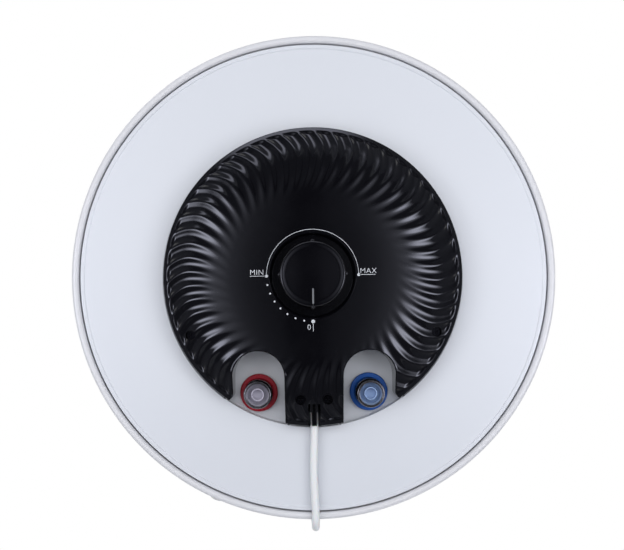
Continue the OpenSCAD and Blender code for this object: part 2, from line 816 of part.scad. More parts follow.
// Where the lead runs: out of the gland, over the hem and up behind the jacket.
route = [[0, -128, -464], [0, -110, -464], [-1, -85, -464], [-1, -65, -464], [-0.5, -50, -464],
         [0, -40, -464], [0, -34, -464], [0, -30.9, -463.6], [0, -28, -462.4], [0, -25.5, -460.5],
         [0, -23.6, -458], [0, -22.4, -455.1], [0, -22, -452], [0, -22, -440], [-0.5, -21.8, -415],
         [-2.5, -20.8, -375], [-6, -19, -320], [-11, -16.8, -260], [-15, -14.4, -205],
         [-16.4, -13.4, -160], [-16.4, -13.4, -138]];
// The lead's other end, from the coil down to the plug.
tail = [[-103.6, -20.6, -138], [-104, -20.6, -145], [-105.2, -20.6, -152], [-106.4, -20.6, -158],
        [-107, -20.6, -163], [-107, -20.6, -166]];

coil_r = 40;             // middle radius of the bundle of turns
coil_c = [-60, -17, -137.5];
plug_c = [-107, -20.6, -166];

function unit(v) = v / norm(v);
function bend_point(p, i, t) =
  let (a = p[max(i - 1, 0)], b = p[i], c = p[i + 1], d = p[min(i + 2, len(p) - 1)])
  0.5 * (2 * b + (c - a) * t + (2 * a - 5 * b + 4 * c - d) * t * t
         + (3 * b - a - 3 * c + d) * t * t * t);
function smooth_route(p, n) =
  concat([for (i = [0 : len(p) - 2], k = [0 : n - 1]) bend_point(p, i, k / n)], [p[len(p) - 1]]);

// A tube of radius r along the points of line, with its sides turned as little as possible.
module swept_tube(line, r, sides = 10) {
  n = len(line);
  dirs = [for (i = [0 : n - 1]) unit(line[min(i + 1, n - 1)] - line[max(i - 1, 0)])];
  side_x = [1, 0, 0];
  points = [for (i = [0 : n - 1]) let (u = unit(side_x - dirs[i] * (side_x * dirs[i])),
                                       v = cross(dirs[i], u))
    for (j = [0 : sides - 1]) line[i] + r * (cos(360 * j / sides) * u + sin(360 * j / sides) * v)];
  polyhedron(points, concat(
    [[for (j = [sides - 1 : -1 : 0]) j]],
    [for (i = [0 : n - 2], j = [0 : sides - 1]) let (k = (j + 1) % sides)
      each [[i * sides + j, i * sides + k, (i + 1) * sides + k],
            [i * sides + j, (i + 1) * sides + k, (i + 1) * sides + j]]],
    [[for (j = [0 : sides - 1]) (n - 1) * sides + j]]));
}

module cord_gland() {
  deep = 3;
  color("black") on_axis() difference() {
    translate([0, gland_in, cord_z]) rotate([-90, 0, 0]) union() {
      cylinder(r1 = gland_r0, r2 = gland_r1, h = cover_r - gland_in);
      translate([0, 0, -6]) cylinder(r = gland_r0, h = 6 + eps);
    }
    translate([0, gland_in + deep, cord_z]) rotate([-90, 0, 0])
      cylinder(r = cord_r + 0.15, h = 40, $fn = 64);
  }
}

module power_cord() {
  color("white") {
    swept_tube(smooth_route(route, 2), cord_r);
    swept_tube(smooth_route(tail, 1), cord_r);
  }
}

module cord_coil() {
  color("white") translate(coil_c) rotate([90, 0, 0]) rotate_extrude()
    translate([coil_r, 0]) {
      square([2 * cord_d, cord_d], center = true);
      square([cord_d, 2 * cord_d], center = true);
      for (x = [-1, 1], y = [-1, 1]) translate([x, y] * cord_r) circle(r = cord_r, $fn = 32);
    }
}

module cord_tie() {
  wide = 6;
  clear = 0.3;
  half = cord_d + clear;
  color("dimgray") translate(coil_c + [0, 0, coil_r]) rotate([0, 90, 0]) difference() {
    translate([-half - 1, -half - 1, -wide / 2]) cube([2 * half + 2, 2 * half + 2, wide]);
    translate([-half, -half, -wide]) cube([2 * half, 2 * half, 2 * wide]);
  }
}

module plug_body() {
  relief_l = 26;
  body_l = 40;
  big_r = 17.5;
  color("white") translate(plug_c) mirror([0, 0, 1]) difference() {
    rotate_extrude() polygon([
      [0, 0], [cord_r + 1.2, 0], [8, relief_l], [12, relief_l + 4], [14.5, relief_l + 16],
      [big_r - 1, relief_l + 24], [big_r, relief_l + 26], [big_r, relief_l + body_l - 1],
      [big_r - 1, relief_l + body_l], [0, relief_l + body_l]]);
    for (side = [-1, 1]) translate([side * 9.5, 0, relief_l + body_l - 10])
      cylinder(r = 2.4 + seat, h = 12, $fn = 32);
  }
}

module plug_pins() {
  color("silver") translate(plug_c) mirror([0, 0, 1])
    for (side = [-1, 1]) translate([side * 9.5, 0, 56]) {
      cylinder(r = 2.4, h = 27, $fn = 32);
      translate([0, 0, 27 - eps]) cylinder(r1 = 2.4, r2 = 1.4, h = 1.5, $fn = 32);
    }
}

outer_jacket();
bottom_cap();
top_cap();
foam_insulation();
inner_tank();
tank_flange();
flange_gasket();
flange_plate();
flange_nuts();
heating_element();
anode_rod();
thermowell();
thermostat_body();
thermostat_rod();
thermostat_shaft();
reset_button();
terminal_block();
earth_stud();
cord_clamp();
hot_nipple();
cold_nipple();
hot_liner();
cold_liner();
hot_collar();
cold_collar();
hot_outlet_tube();
cold_diffuser();
service_cover();
cover_posts();
cover_screws();
thermostat_knob();
knob_pointer();
wall_bracket();
lower_stays();
cord_gland();
power_cord();
cord_coil();
cord_tie();
plug_body();
plug_pins();
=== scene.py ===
import json
import math

import bmesh
import bpy
from mathutils import Matrix, Vector
from mathutils.bvhtree import BVHTree


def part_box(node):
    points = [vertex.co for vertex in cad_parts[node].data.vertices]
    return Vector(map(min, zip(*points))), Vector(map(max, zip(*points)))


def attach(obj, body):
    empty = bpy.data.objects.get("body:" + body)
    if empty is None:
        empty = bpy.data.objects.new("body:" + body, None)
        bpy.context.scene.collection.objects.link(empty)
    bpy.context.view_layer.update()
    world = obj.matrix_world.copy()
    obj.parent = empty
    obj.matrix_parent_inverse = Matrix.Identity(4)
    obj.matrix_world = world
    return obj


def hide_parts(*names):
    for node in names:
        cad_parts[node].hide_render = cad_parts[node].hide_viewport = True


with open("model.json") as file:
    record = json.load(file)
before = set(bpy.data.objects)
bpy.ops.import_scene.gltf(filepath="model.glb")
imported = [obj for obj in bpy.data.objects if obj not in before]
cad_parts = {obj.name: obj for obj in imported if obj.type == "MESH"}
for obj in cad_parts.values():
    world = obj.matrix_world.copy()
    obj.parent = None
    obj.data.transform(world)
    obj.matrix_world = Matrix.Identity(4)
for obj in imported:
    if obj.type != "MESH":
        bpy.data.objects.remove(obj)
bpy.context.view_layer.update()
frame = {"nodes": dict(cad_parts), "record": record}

bl_info = {
    "name": "Tank water heater",
    "version": (1, 0, 0),
    "blender": (4, 5, 0),
    "location": "3D View > Sidebar > Water heater",
    "description": "Dresses a round wall-hung tank water heater, with its cover, knob, pipes and lead",
    "category": "Object",
}

MM = 0.001

# Pieces are modelled in millimetres about the body's axis, with heights counted up from the
# lower hem, and then put in place by ON_AXIS. The lead is given in the frame itself.
JACKET_LOW, JACKET_HIGH = (Vector(corner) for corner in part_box("outer_jacket"))
AXIS = (JACKET_LOW + JACKET_HIGH) / 2
HEM = JACKET_LOW.z
ON_AXIS = Matrix.Translation((AXIS.x, AXIS.y, HEM)) @ Matrix.Scale(MM, 4)
IN_FRAME = Matrix.Scale(MM, 4)


def from_hem(node):
    """Lowest and highest corner of a CAD node, in millimetres from the hem's centre."""
    back = ON_AXIS.inverted()
    return tuple(back @ Vector(corner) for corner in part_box(node))


BODY_R = (JACKET_HIGH.x - JACKET_LOW.x) / 2 / MM
BODY_H = (JACKET_HIGH.z - HEM) / MM
CROWN_Z = from_hem("service_cover")[0].z
FLOOR_Z = from_hem("service_cover")[1].z
KNOB_LOW, KNOB_HIGH = from_hem("thermostat_knob")
PIPE_LOW, PIPE_HIGH = from_hem("cold_nipple")
PIPE_X = (PIPE_LOW.x + PIPE_HIGH.x) / 2
PIPE_Y = (PIPE_LOW.y + PIPE_HIGH.y) / 2
COLLAR_LOW, COLLAR_HIGH = from_hem("cold_collar")
GLAND_LOW, GLAND_HIGH = from_hem("cord_gland")


# ---- colours and materials ----------------------------------------------

def linear(code):
    """An sRGB hex colour as linear red, green, blue and alpha."""
    parts = [int(code[i:i + 2], 16) / 255 for i in (0, 2, 4)]
    return tuple(c / 12.92 if c <= 0.04045 else ((c + 0.055) / 1.055) ** 2.4 for c in parts) + (1,)


def add(tree, kind, inputs=None, **settings):
    """A new node with its settings; an input that is a socket is linked, any other is set."""
    node = tree.nodes.new(kind)
    for name, value in settings.items():
        setattr(node, name, value)
    for name, value in (inputs or {}).items():
        if isinstance(value, bpy.types.NodeSocket):
            tree.links.new(value, node.inputs[name])
        else:
            node.inputs[name].default_value = value
    return node


def surface(name, colour, **sockets):
    """A material with one Principled shader, its node tree, and the object's own coordinates.

    The colour is a hex code, or red, green and blue from the settings.
    """
    material = bpy.data.materials.new(name)
    material.use_nodes = True
    material.diffuse_color = linear(colour) if isinstance(colour, str) else (*colour, 1)
    tree = material.node_tree
    shader = tree.nodes["Principled BSDF"]
    shader.inputs["Base Color"].default_value = material.diffuse_color
    for socket, value in sockets.items():
        shader.inputs[socket.replace("_", " ")].default_value = value
    place = add(tree, "ShaderNodeTexCoord").outputs["Object"]
    return material, tree, shader, place


def swing(tree, shader, pattern, roughness, colours=None):
    """Lets a pattern swing the roughness, and the colour, between two values without hard contours."""
    span = add(tree, "ShaderNodeMapRange", {"Value": pattern, "From Min": 0.3, "From Max": 0.7,
                                            "To Min": roughness[0], "To Max": roughness[1]},
               interpolation_type="SMOOTHSTEP")
    tree.links.new(span.outputs["Result"], shader.inputs["Roughness"])
    if colours:
        blend = add(tree, "ShaderNodeMix", {"Factor": pattern, "A": linear(colours[0]),
                                            "B": linear(colours[1])}, data_type="RGBA")
        tree.links.new(blend.outputs["Result"], shader.inputs["Base Color"])


def emboss(tree, shader, place, size, share, depth):
    """A fine relief: the size of its grain in millimetres, the bump's strength, and its depth."""
    fine = add(tree, "ShaderNodeTexNoise", {"Vector": place, "Scale": 1 / (size * MM)})
    bump = add(tree, "ShaderNodeBump", {"Height": fine.outputs["Fac"], "Strength": share,
                                        "Distance": depth * MM})
    tree.links.new(bump.outputs["Normal"], shader.inputs["Normal"])


def worked(name, colour, patch, roughness, relief=None, colours=None, **sockets):
    """A surface as its making left it: soft patches in its shine and colour, over a fine relief.

    patch is the patches' size in millimetres and their detail; relief is as emboss takes it.
    """
    material, tree, shader, place = surface(name, colour, **sockets)
    size, detail = patch
    soft = add(tree, "ShaderNodeTexNoise", {"Vector": place, "Scale": 1 / (size * MM), "Detail": detail})
    swing(tree, shader, soft.outputs["Fac"], roughness, colours)
    if relief:
        emboss(tree, shader, place, *relief)
    return material


def powder_coat(name, colour, roughness):
    """Powder-coated steel sheet, baked: satin, with a faint orange peel about 4 mm across."""
    return worked(name, colour, (60, 3), (roughness - 0.015, roughness + 0.02), (4, 0.12, 0.05),
                  IOR=1.5, Coat_Weight=0.3, Coat_Roughness=0.25)


def gloss_abs(name, colour, roughness):
    """Black ABS from a polished mould: mirror-like, with soft smears and a slight mould ripple."""
    return worked(name, colour, (30, 4), (roughness, roughness + 0.06), (14, 0.1, 0.05), IOR=1.54)


def moulded(name, colour, roughness):
    """A moulded plastic with a fine spark-eroded texture, drawn as coarse as it needs to show."""
    return worked(name, colour, (18, 3), (roughness - 0.04, roughness + 0.06), (0.9, 0.15, 0.03), IOR=1.5)


def soft_pvc(name, colour):
    """Plasticised PVC: a waxy sheath that lets a little light in and shines in a wide streak."""
    return worked(name, colour, (12, 3), (0.3, 0.42), (1.6, 0.12, 0.03), IOR=1.53,
                  Subsurface_Weight=0.15, Subsurface_Scale=0.002)


def ink(name, colour):
    """Screen-printed ink: matt, evenly opaque, very slightly speckled at its edges."""
    return worked(name, colour, (1.5, 2), (0.45, 0.6), IOR=1.5)


def metal(name, colour, second, roughness, spot_mm):
    """A bare or plated metal: crystals or rolling marks vary its tone and its shine."""
    return worked(name, colour, (spot_mm, 4), (roughness - 0.06, roughness + 0.08), (1.2, 0.1, 0.02),
                  (colour, second), Metallic=1.0)


def galvanised(name):
    """Hot-dipped zinc: flat crystals about 8 mm across, each a slightly different grey."""
    material, tree, shader, place = surface(name, "b4b8bc", Metallic=1.0)
    cells = add(tree, "ShaderNodeTexVoronoi", {"Vector": place, "Scale": 1 / (8 * MM)}, feature="F1")
    tone = add(tree, "ShaderNodeSeparateColor", {"Color": cells.outputs["Color"]})
    swing(tree, shader, tone.outputs["Red"], (0.3, 0.48), ("a3a8ad", "c9ccd0"))
    emboss(tree, shader, place, 2.5, 0.1, 0.02)
    return material


def rigid_foam(name):
    """Poured polyurethane foam: dull, with open cells about 2.5 mm across where it was cut."""
    material, tree, shader, place = surface(name, "e3d08c", Roughness=0.9)
    cells = add(tree, "ShaderNodeTexNoise", {"Vector": place, "Scale": 1 / (2.5 * MM), "Detail": 3})
    cells = cells.outputs["Fac"]
    blend = add(tree, "ShaderNodeMix", {"Factor": cells, "A": linear("d9c47c"), "B": linear("efe0a6")},
                data_type="RGBA")
    tree.links.new(blend.outputs["Result"], shader.inputs["Base Color"])
    bump = add(tree, "ShaderNodeBump", {"Height": cells, "Strength": 0.5, "Distance": 0.6 * MM})
    tree.links.new(bump.outputs["Normal"], shader.inputs["Normal"])
    return material


def make_materials(s):
    """One material for each slot of the record, and for the finishes that it has no slot for."""
    return {
        "jacket_enamel": powder_coat("white_powder_coat", s.jacket, 0.3),
        "cap_enamel": powder_coat("cool_white_powder_coat", s.caps, 0.3),
        "foam": rigid_foam("polyurethane_foam"),
        "tank_enamel": powder_coat("blue_vitreous_enamel", "2f4a6b", 0.2),
        "bare_steel": metal("stainless_steel", "a9abad", "b9babb", 0.32, 5),
        "zinc_steel": galvanised("galvanised_steel"),
        # The stubs' dark grey is partly a dull zinc plate and partly painted shade for the shaded thread
        # beside each pipe's end.
        "pipe_zinc": metal("dull_zinc_with_painted_shade", "7d7b7c", "8d8a8a", 0.2, 6),
        "gasket_rubber": moulded("epdm_rubber", "1c1c1c", 0.7),
        "magnesium": metal("cast_magnesium", "aeb0ad", "c2c3c0", 0.55, 4),
        "ivory_plastic": moulded("urea_moulding", "e6e0cc", 0.4),
        "copper": metal("drawn_copper", "b87952", "c98b63", 0.3, 6),
        "red_plastic": moulded("red_polypropylene", s.hot, 0.3),
        "blue_plastic": moulded("blue_polypropylene", s.cold, 0.3),
        "pale_blue_plastic": moulded("pale_blue_polypropylene", "9db4d8", 0.3),
        "brass": metal("turned_brass", "c4a052", "d2b166", 0.25, 6),
        "black_plastic": moulded("black_nylon", "1a1a1c", 0.45),
        "white_plastic": moulded("white_polypropylene", "e4e4ea", 0.3),
        "black_gloss": gloss_abs("gloss_black_abs", s.cover, 0.09),
        # The screws' near-black is partly their own black finish and partly painted shade for the deep
        # recesses they sit in.
        "black_steel": metal("blackened_steel_with_painted_shade", "17171a", "242427", 0.35, 4),
        "grey_inlay": moulded("grey_abs", "6a6c70", 0.4),
        "white_pvc": soft_pvc("white_pvc_sheath", s.lead),
        "nickel_brass": metal("nickel_plate", "c9c5bb", "d6d3ca", 0.2, 8),
        "dial_ink": ink("white_dial_ink", s.dial),
        "hot_liner": moulded("grey_polypropylene", "a9a6b4", 0.35),
        "cold_liner": moulded("grey_blue_polypropylene", "8ba3c8", 0.35),
    }


# The materials by their slot, filled when the first one is asked for.
MATERIALS = {}


def finish(slot):
    """The material of a slot. All of them are made when the first one is asked for."""
    if not MATERIALS:
        MATERIALS.update(make_materials(bpy.context.scene.heater_finish))
    return MATERIALS[slot]


# ---- making pieces ------------------------------------------------------

def smooth(x):
    """0 below 0, 1 above 1, and an S between."""
    t = min(1.0, max(0.0, x))
    return t * t * (3 - 2 * t)


def arc(x, y, radius, start, end, steps):
    """Points on an arc round (x, y), with its angles in degrees."""
    return [(x + radius * math.cos(math.radians(start + (end - start) * i / steps)),
             y + radius * math.sin(math.radians(start + (end - start) * i / steps)))
            for i in range(steps + 1)]


def lathe(bm, outline, steps=144, centre=(0, 0), closed=True):
    """Spins an outline of (radius, height) points once round an upright axis."""
    verts = [bm.verts.new((centre[0] + r, centre[1], z)) for r, z in outline]
    ends = zip(verts, verts[1:] + verts[:1]) if closed else zip(verts, verts[1:])
    edges = [bm.edges.new(pair) for pair in ends]
    bmesh.ops.spin(bm, geom=verts + edges, cent=(*centre, 0), axis=(0, 0, 1), dvec=(0, 0, 0),
                   angle=math.tau, steps=steps, use_merge=True, use_duplicate=False)


def turned(outline, steps=144, centre=(0, 0), closed=True):
    """A new mesh with one spun form."""
    bm = bmesh.new()
    lathe(bm, outline, steps, centre, closed)
    return bm


def prism(bm, outline, low, high):
    """An upright block over an outline of (x, y) points."""
    face = bm.faces.new([bm.verts.new((x, y, low)) for x, y in outline])
    top = bmesh.ops.extrude_face_region(bm, geom=[face])["geom"]
    raised = [v for v in top if isinstance(v, bmesh.types.BMVert)]
    bmesh.ops.translate(bm, verts=raised, vec=(0, 0, high - low))


def tidy(bm, merge=1e-4):
    """Merges doubles and turns every face outwards."""
    bmesh.ops.remove_doubles(bm, verts=bm.verts, dist=merge)
    bmesh.ops.recalc_face_normals(bm, faces=bm.faces)


def bevel(bm, edges, width):
    """Rounds edges, in two steps."""
    bmesh.ops.bevel(bm, geom=edges, offset=width, offset_type="OFFSET", segments=2, profile=0.5,
                    affect="EDGES", material=-1, clamp_overlap=True)


def sharp_edges(bm, angle=30):
    """Edges at which the surface turns by more than that many degrees."""
    return [e for e in bm.edges if e.is_manifold and e.calc_face_angle(0) > math.radians(angle)]


def link(name, data):
    """A new object in the scene, with that data."""
    thing = bpy.data.objects.new(name, data)
    bpy.context.scene.collection.objects.link(thing)
    return thing


def build(name, bm):
    """A new object in the scene with that mesh, which it takes over."""
    mesh = bpy.data.meshes.new(name)
    bm.to_mesh(mesh)
    bm.free()
    return link(name, mesh)


def piece(name, bm, slot, place=ON_AXIS, body="heater", replaces=(), crease=38):
    """Puts a finished mesh in its place, gives it its material and lets it ride on its body."""
    bmesh.ops.transform(bm, matrix=place, verts=bm.verts)
    return dress(build(name, bm), slot, body, replaces, crease)


def dress(thing, slot, body="heater", replaces=(), crease=38):
    """Gives a finished object its material, its smooth faces and its place in the frame."""
    thing.data.materials.append(finish(slot))
    if thing.type == "MESH":
        thing.data.polygons.foreach_set("use_smooth", [True] * len(thing.data.polygons))
        thing.data.set_sharp_from_angle(angle=math.radians(crease))
        weighted = thing.modifiers.new("Flat faces stay flat", "WEIGHTED_NORMAL")
        weighted.keep_sharp = True
    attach(thing, body)
    if replaces:
        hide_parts(*replaces)
    return thing


def cut_away(bm, cutter):
    """The first mesh without the second, by an exact boolean."""
    blank, tool = things = build("blank", bm), build("cutter", cutter)
    cut = blank.modifiers.new("Cut", "BOOLEAN")
    cut.operation = "DIFFERENCE"
    cut.solver = "MANIFOLD"
    cut.object = tool
    shaped = blank.evaluated_get(bpy.context.evaluated_depsgraph_get()).to_mesh()
    result = bmesh.new()
    result.from_mesh(shaped)
    if not result.faces:
        raise RuntimeError("a cut left nothing")
    for thing in things:
        mesh = thing.data
        bpy.data.objects.remove(thing)
        bpy.data.meshes.remove(mesh)
    return result


def softened(node, slot, width, angle=30):
    """A copy of a CAD node with its edges rounded, which stands for the node."""
    bm = bmesh.new()
    bm.from_mesh(frame["nodes"][node].data)
    bmesh.ops.remove_doubles(bm, verts=bm.verts, dist=2e-5)
    bmesh.ops.dissolve_limit(bm, angle_limit=math.radians(2), verts=bm.verts, edges=bm.edges)
    bevel(bm, sharp_edges(bm, angle), width * MM)
    return piece(node + "_piece", bm, slot, Matrix.Identity(4), replaces=[node])


# ---- the add-on's settings ----------------------------------------------

def length(name, text, millimetres):
    return bpy.props.FloatProperty(name=name, description=text, default=millimetres * MM,
                                   unit="LENGTH", precision=4)


def paint(name, text, code):
    return bpy.props.FloatVectorProperty(name=name, description=text, default=linear(code)[:3],
                                         subtype="COLOR", min=0, max=1)


def strength(name, text, amount):
    return bpy.props.FloatProperty(name=name, description=text, default=amount, min=0)


class HeaterFinishSettings(bpy.types.PropertyGroup):
    """Colours of the pieces that show."""

    jacket: paint("Jacket", "Powder coat of the jacket", "dddde0")
    caps: paint("End caps", "Powder coat of the end caps", "d9dce2")
    cover: paint("Cover", "Plastic of the cover, the knob and the boot", "08080c")
    hot: paint("Hot side", "Plastic of the collar round the hot pipe", "900f21")
    cold: paint("Cold side", "Plastic of the collar round the cold pipe", "0d4d9d")
    lead: paint("Lead", "Sheath of the mains lead, and its plug", "e6e8e8")
    dial: paint("Dial", "Ink of the dial", "dcdfe4")


class HeaterShellSettings(bpy.types.PropertyGroup):
    """Sizes of the jacket and its end caps."""

    sheet: length("Sheet", "Thickness of the jacket's steel", 0.8)
    hem: length("Hem", "Radius of the rolled hem", 3.3)
    cap_sheet: length("Cap sheet", "Thickness of an end cap's steel", 1.0)
    cap_inset: length("Cap inset", "How far the flat of an end cap lies inside the hem", 2.0)
    bead: length("Bead", "Width of the bead round an end cap", 3.6)
    bead_rise: length("Bead rise", "How far the bead stands out from the flat", 0.8)
    seam: length("Seam", "Gap between an end cap's edge and the hem", 1.5)
    turned_edge: length("Turned edge", "Height of an end cap's turned edge", 12.0)
    well_gap: length("Well gap", "Gap between the cover and the wall of its well", 0.4)


class HeaterCoverSettings(bpy.types.PropertyGroup):
    """Sizes of the fluted cover."""

    radius: length("Radius", "Radius of the cover", 135.5)
    flutes: bpy.props.IntProperty(name="Flutes", description="Number of flutes", default=54, min=12)
    depth: length("Flute depth", "Depth of a flute", 1.8)
    draft: length("Draft", "How far the cover's wall leans out below its rim", 2.4)
    band: length("Band", "Width of the plain band round the flutes", 3.0)
    lip: length("Lip", "Rounding of the pipe notches' edges", 1.2)
    recess: length("Recess", "Diameter of the recess round the knob", 73.0)
    recess_depth: length("Recess depth", "Depth of the recess round the knob", 9.0)
    columns: bpy.props.IntProperty(name="Columns", description="Mesh columns in each flute", default=12,
                                   min=4)


class HeaterDialSettings(bpy.types.PropertyGroup):
    """The printed dial."""

    radius: length("Radius", "Radius of the dial's arc", 40.2)
    line: length("Line", "Width of the printed lines", 0.38)
    low_mark: bpy.props.StringProperty(name="Low mark", description="Mark at the low end", default="MIN")
    high_mark: bpy.props.StringProperty(name="High mark", description="Mark at the high end", default="MAX")
    rest_mark: bpy.props.StringProperty(name="Rest mark", description="Mark at the rest", default="0")


class HeaterStageSettings(bpy.types.PropertyGroup):
    """The camera, the lamps and the floor."""

    camera_drop: length("Camera drop", "How far the camera is below the cap", 850)
    camera_side: length("Camera side", "How far the camera is right of the axis", -8.2)
    camera_back: length("Camera back", "How far the camera is behind the axis", 42.7)
    aim_side: length("Aim side", "How far right of the axis the camera points", -28.2)
    aim_back: length("Aim back", "How far behind the axis the camera points", 39.2)
    roll: bpy.props.FloatProperty(name="Roll", description="Turn of the camera about its own line of sight",
                                  default=math.radians(0.845), subtype="ANGLE")
    lens: bpy.props.FloatProperty(name="Lens", description="Focal length on a 36 mm sensor", default=53.9,
                                  min=1, unit="CAMERA")
    shift: bpy.props.FloatVectorProperty(name="Shift", description="Shift of the frame on the sensor",
                                         size=2, default=(0.0484, 0.0736))
    side_light: strength("Side light", "Brightness of the two side panels", 2.4)
    under_light: strength("Under light", "Brightness of the panel below", 2.08)
    front_light: strength("Front light", "Brightness of the front panel", 1.2)
    back_light: strength("Back light", "Brightness of the panel behind", 1.56)
    air_light: strength("Air light", "Brightness of the surroundings", 0.42)
    side_shine: strength("Side shine", "Brightness of the side panels' cloths in gloss", 6.0)
    side_glow: strength("Side glow", "Brightness of the wide cloths beside the camera", 1.02)
    front_shine: strength("Front shine", "Brightness of the front strip in gloss", 2.5)
    air_tint: paint("Air tint", "Colour of the surroundings", "eef2ff")


# ---- stage --------------------------------------------------------------

def aim(thing, place, target, up):
    """Puts a camera or lamp at place, turned to the target."""
    forward = (Vector(target) - Vector(place)).normalized()
    right = forward.cross(Vector(up)).normalized()
    above = right.cross(forward)
    turn = Matrix((right, above, -forward)).transposed()
    thing.matrix_world = Matrix.Translation(place) @ turn.to_4x4()


def panel_lamp(name, place, target, up, width, height, brightness, in_gloss=True):
    """A flat lamp of that brightness, which the camera doesn't see."""
    data = bpy.data.lights.new(name, "AREA")
    data.shape = "RECTANGLE"
    data.size = width
    data.size_y = height
    data.energy = brightness * math.pi * width * height
    lamp = link(name, data)
    aim(lamp, place, target, up)
    lamp.visible_camera = False
    lamp.visible_glossy = in_gloss


def stage_thing(name, bm, code, cast=False):
    """A matt part of the studio. Unless it casts, only reflections show it."""
    thing = build(name, bm)
    material, tree, shader, place = surface(name, code, Roughness=0.9)
    emboss(tree, shader, place, 3, 0.1, 0.1)
    thing.data.materials.append(material)
    if not cast:
        reflection_only(thing)


def reflection_only(thing):
    """Hides a thing from everything but reflections."""
    thing.visible_camera = False
    thing.visible_diffuse = False
    thing.visible_shadow = False
    thing.visible_transmission = False


def level_board(low, high, z):
    """A level board between two corners, at a height, in metres."""
    bm = bmesh.new()
    bmesh.ops.create_grid(bm, x_segments=1, y_segments=1, size=0.5)
    bmesh.ops.scale(bm, vec=(high[0] - low[0], high[1] - low[1], 1), verts=bm.verts)
    bmesh.ops.translate(bm, vec=((low[0] + high[0]) / 2, (low[1] + high[1]) / 2, z), verts=bm.verts)
    return bm


def softbox(name, place, target, up, width, height, brightness, soft_x, soft_y):
    """The glowing cloth of a lamp, as reflections show it, fading towards its edges.

    soft_x and soft_y are the shares of the half width and height that keep full brightness.
    """
    bm = bmesh.new()
    bmesh.ops.create_grid(bm, x_segments=1, y_segments=1, size=0.5, calc_uvs=True)
    bmesh.ops.scale(bm, vec=(width, height, 1), verts=bm.verts)
    box = build(name, bm)
    aim(box, place, target, up)
    material = bpy.data.materials.new(name)
    material.use_nodes = True
    tree = material.node_tree
    tree.nodes.clear()
    place_on_cloth = add(tree, "ShaderNodeTexCoord").outputs["Object"]
    across = add(tree, "ShaderNodeSeparateXYZ", {"Vector": place_on_cloth})
    glow = brightness
    for axis, half, soft in (("X", width / 2, soft_x), ("Y", height / 2, soft_y)):
        off = add(tree, "ShaderNodeMath", {0: across.outputs[axis]}, operation="ABSOLUTE")
        fade = add(tree, "ShaderNodeMapRange", {"Value": off.outputs[0], "From Min": half * soft,
                                                "From Max": half, "To Min": 1.0, "To Max": 0.0},
                   interpolation_type="SMOOTHSTEP")
        glow = add(tree, "ShaderNodeMath", {0: fade.outputs["Result"], 1: glow}, operation="MULTIPLY")
        glow = glow.outputs[0]
    light = add(tree, "ShaderNodeEmission", {"Color": linear("e8ebff"), "Strength": glow})
    clear = add(tree, "ShaderNodeBsdfTransparent")
    both = add(tree, "ShaderNodeAddShader", {0: light.outputs[0], 1: clear.outputs[0]})
    add(tree, "ShaderNodeOutputMaterial", {"Surface": both.outputs[0]})
    box.data.materials.append(material)
    reflection_only(box)


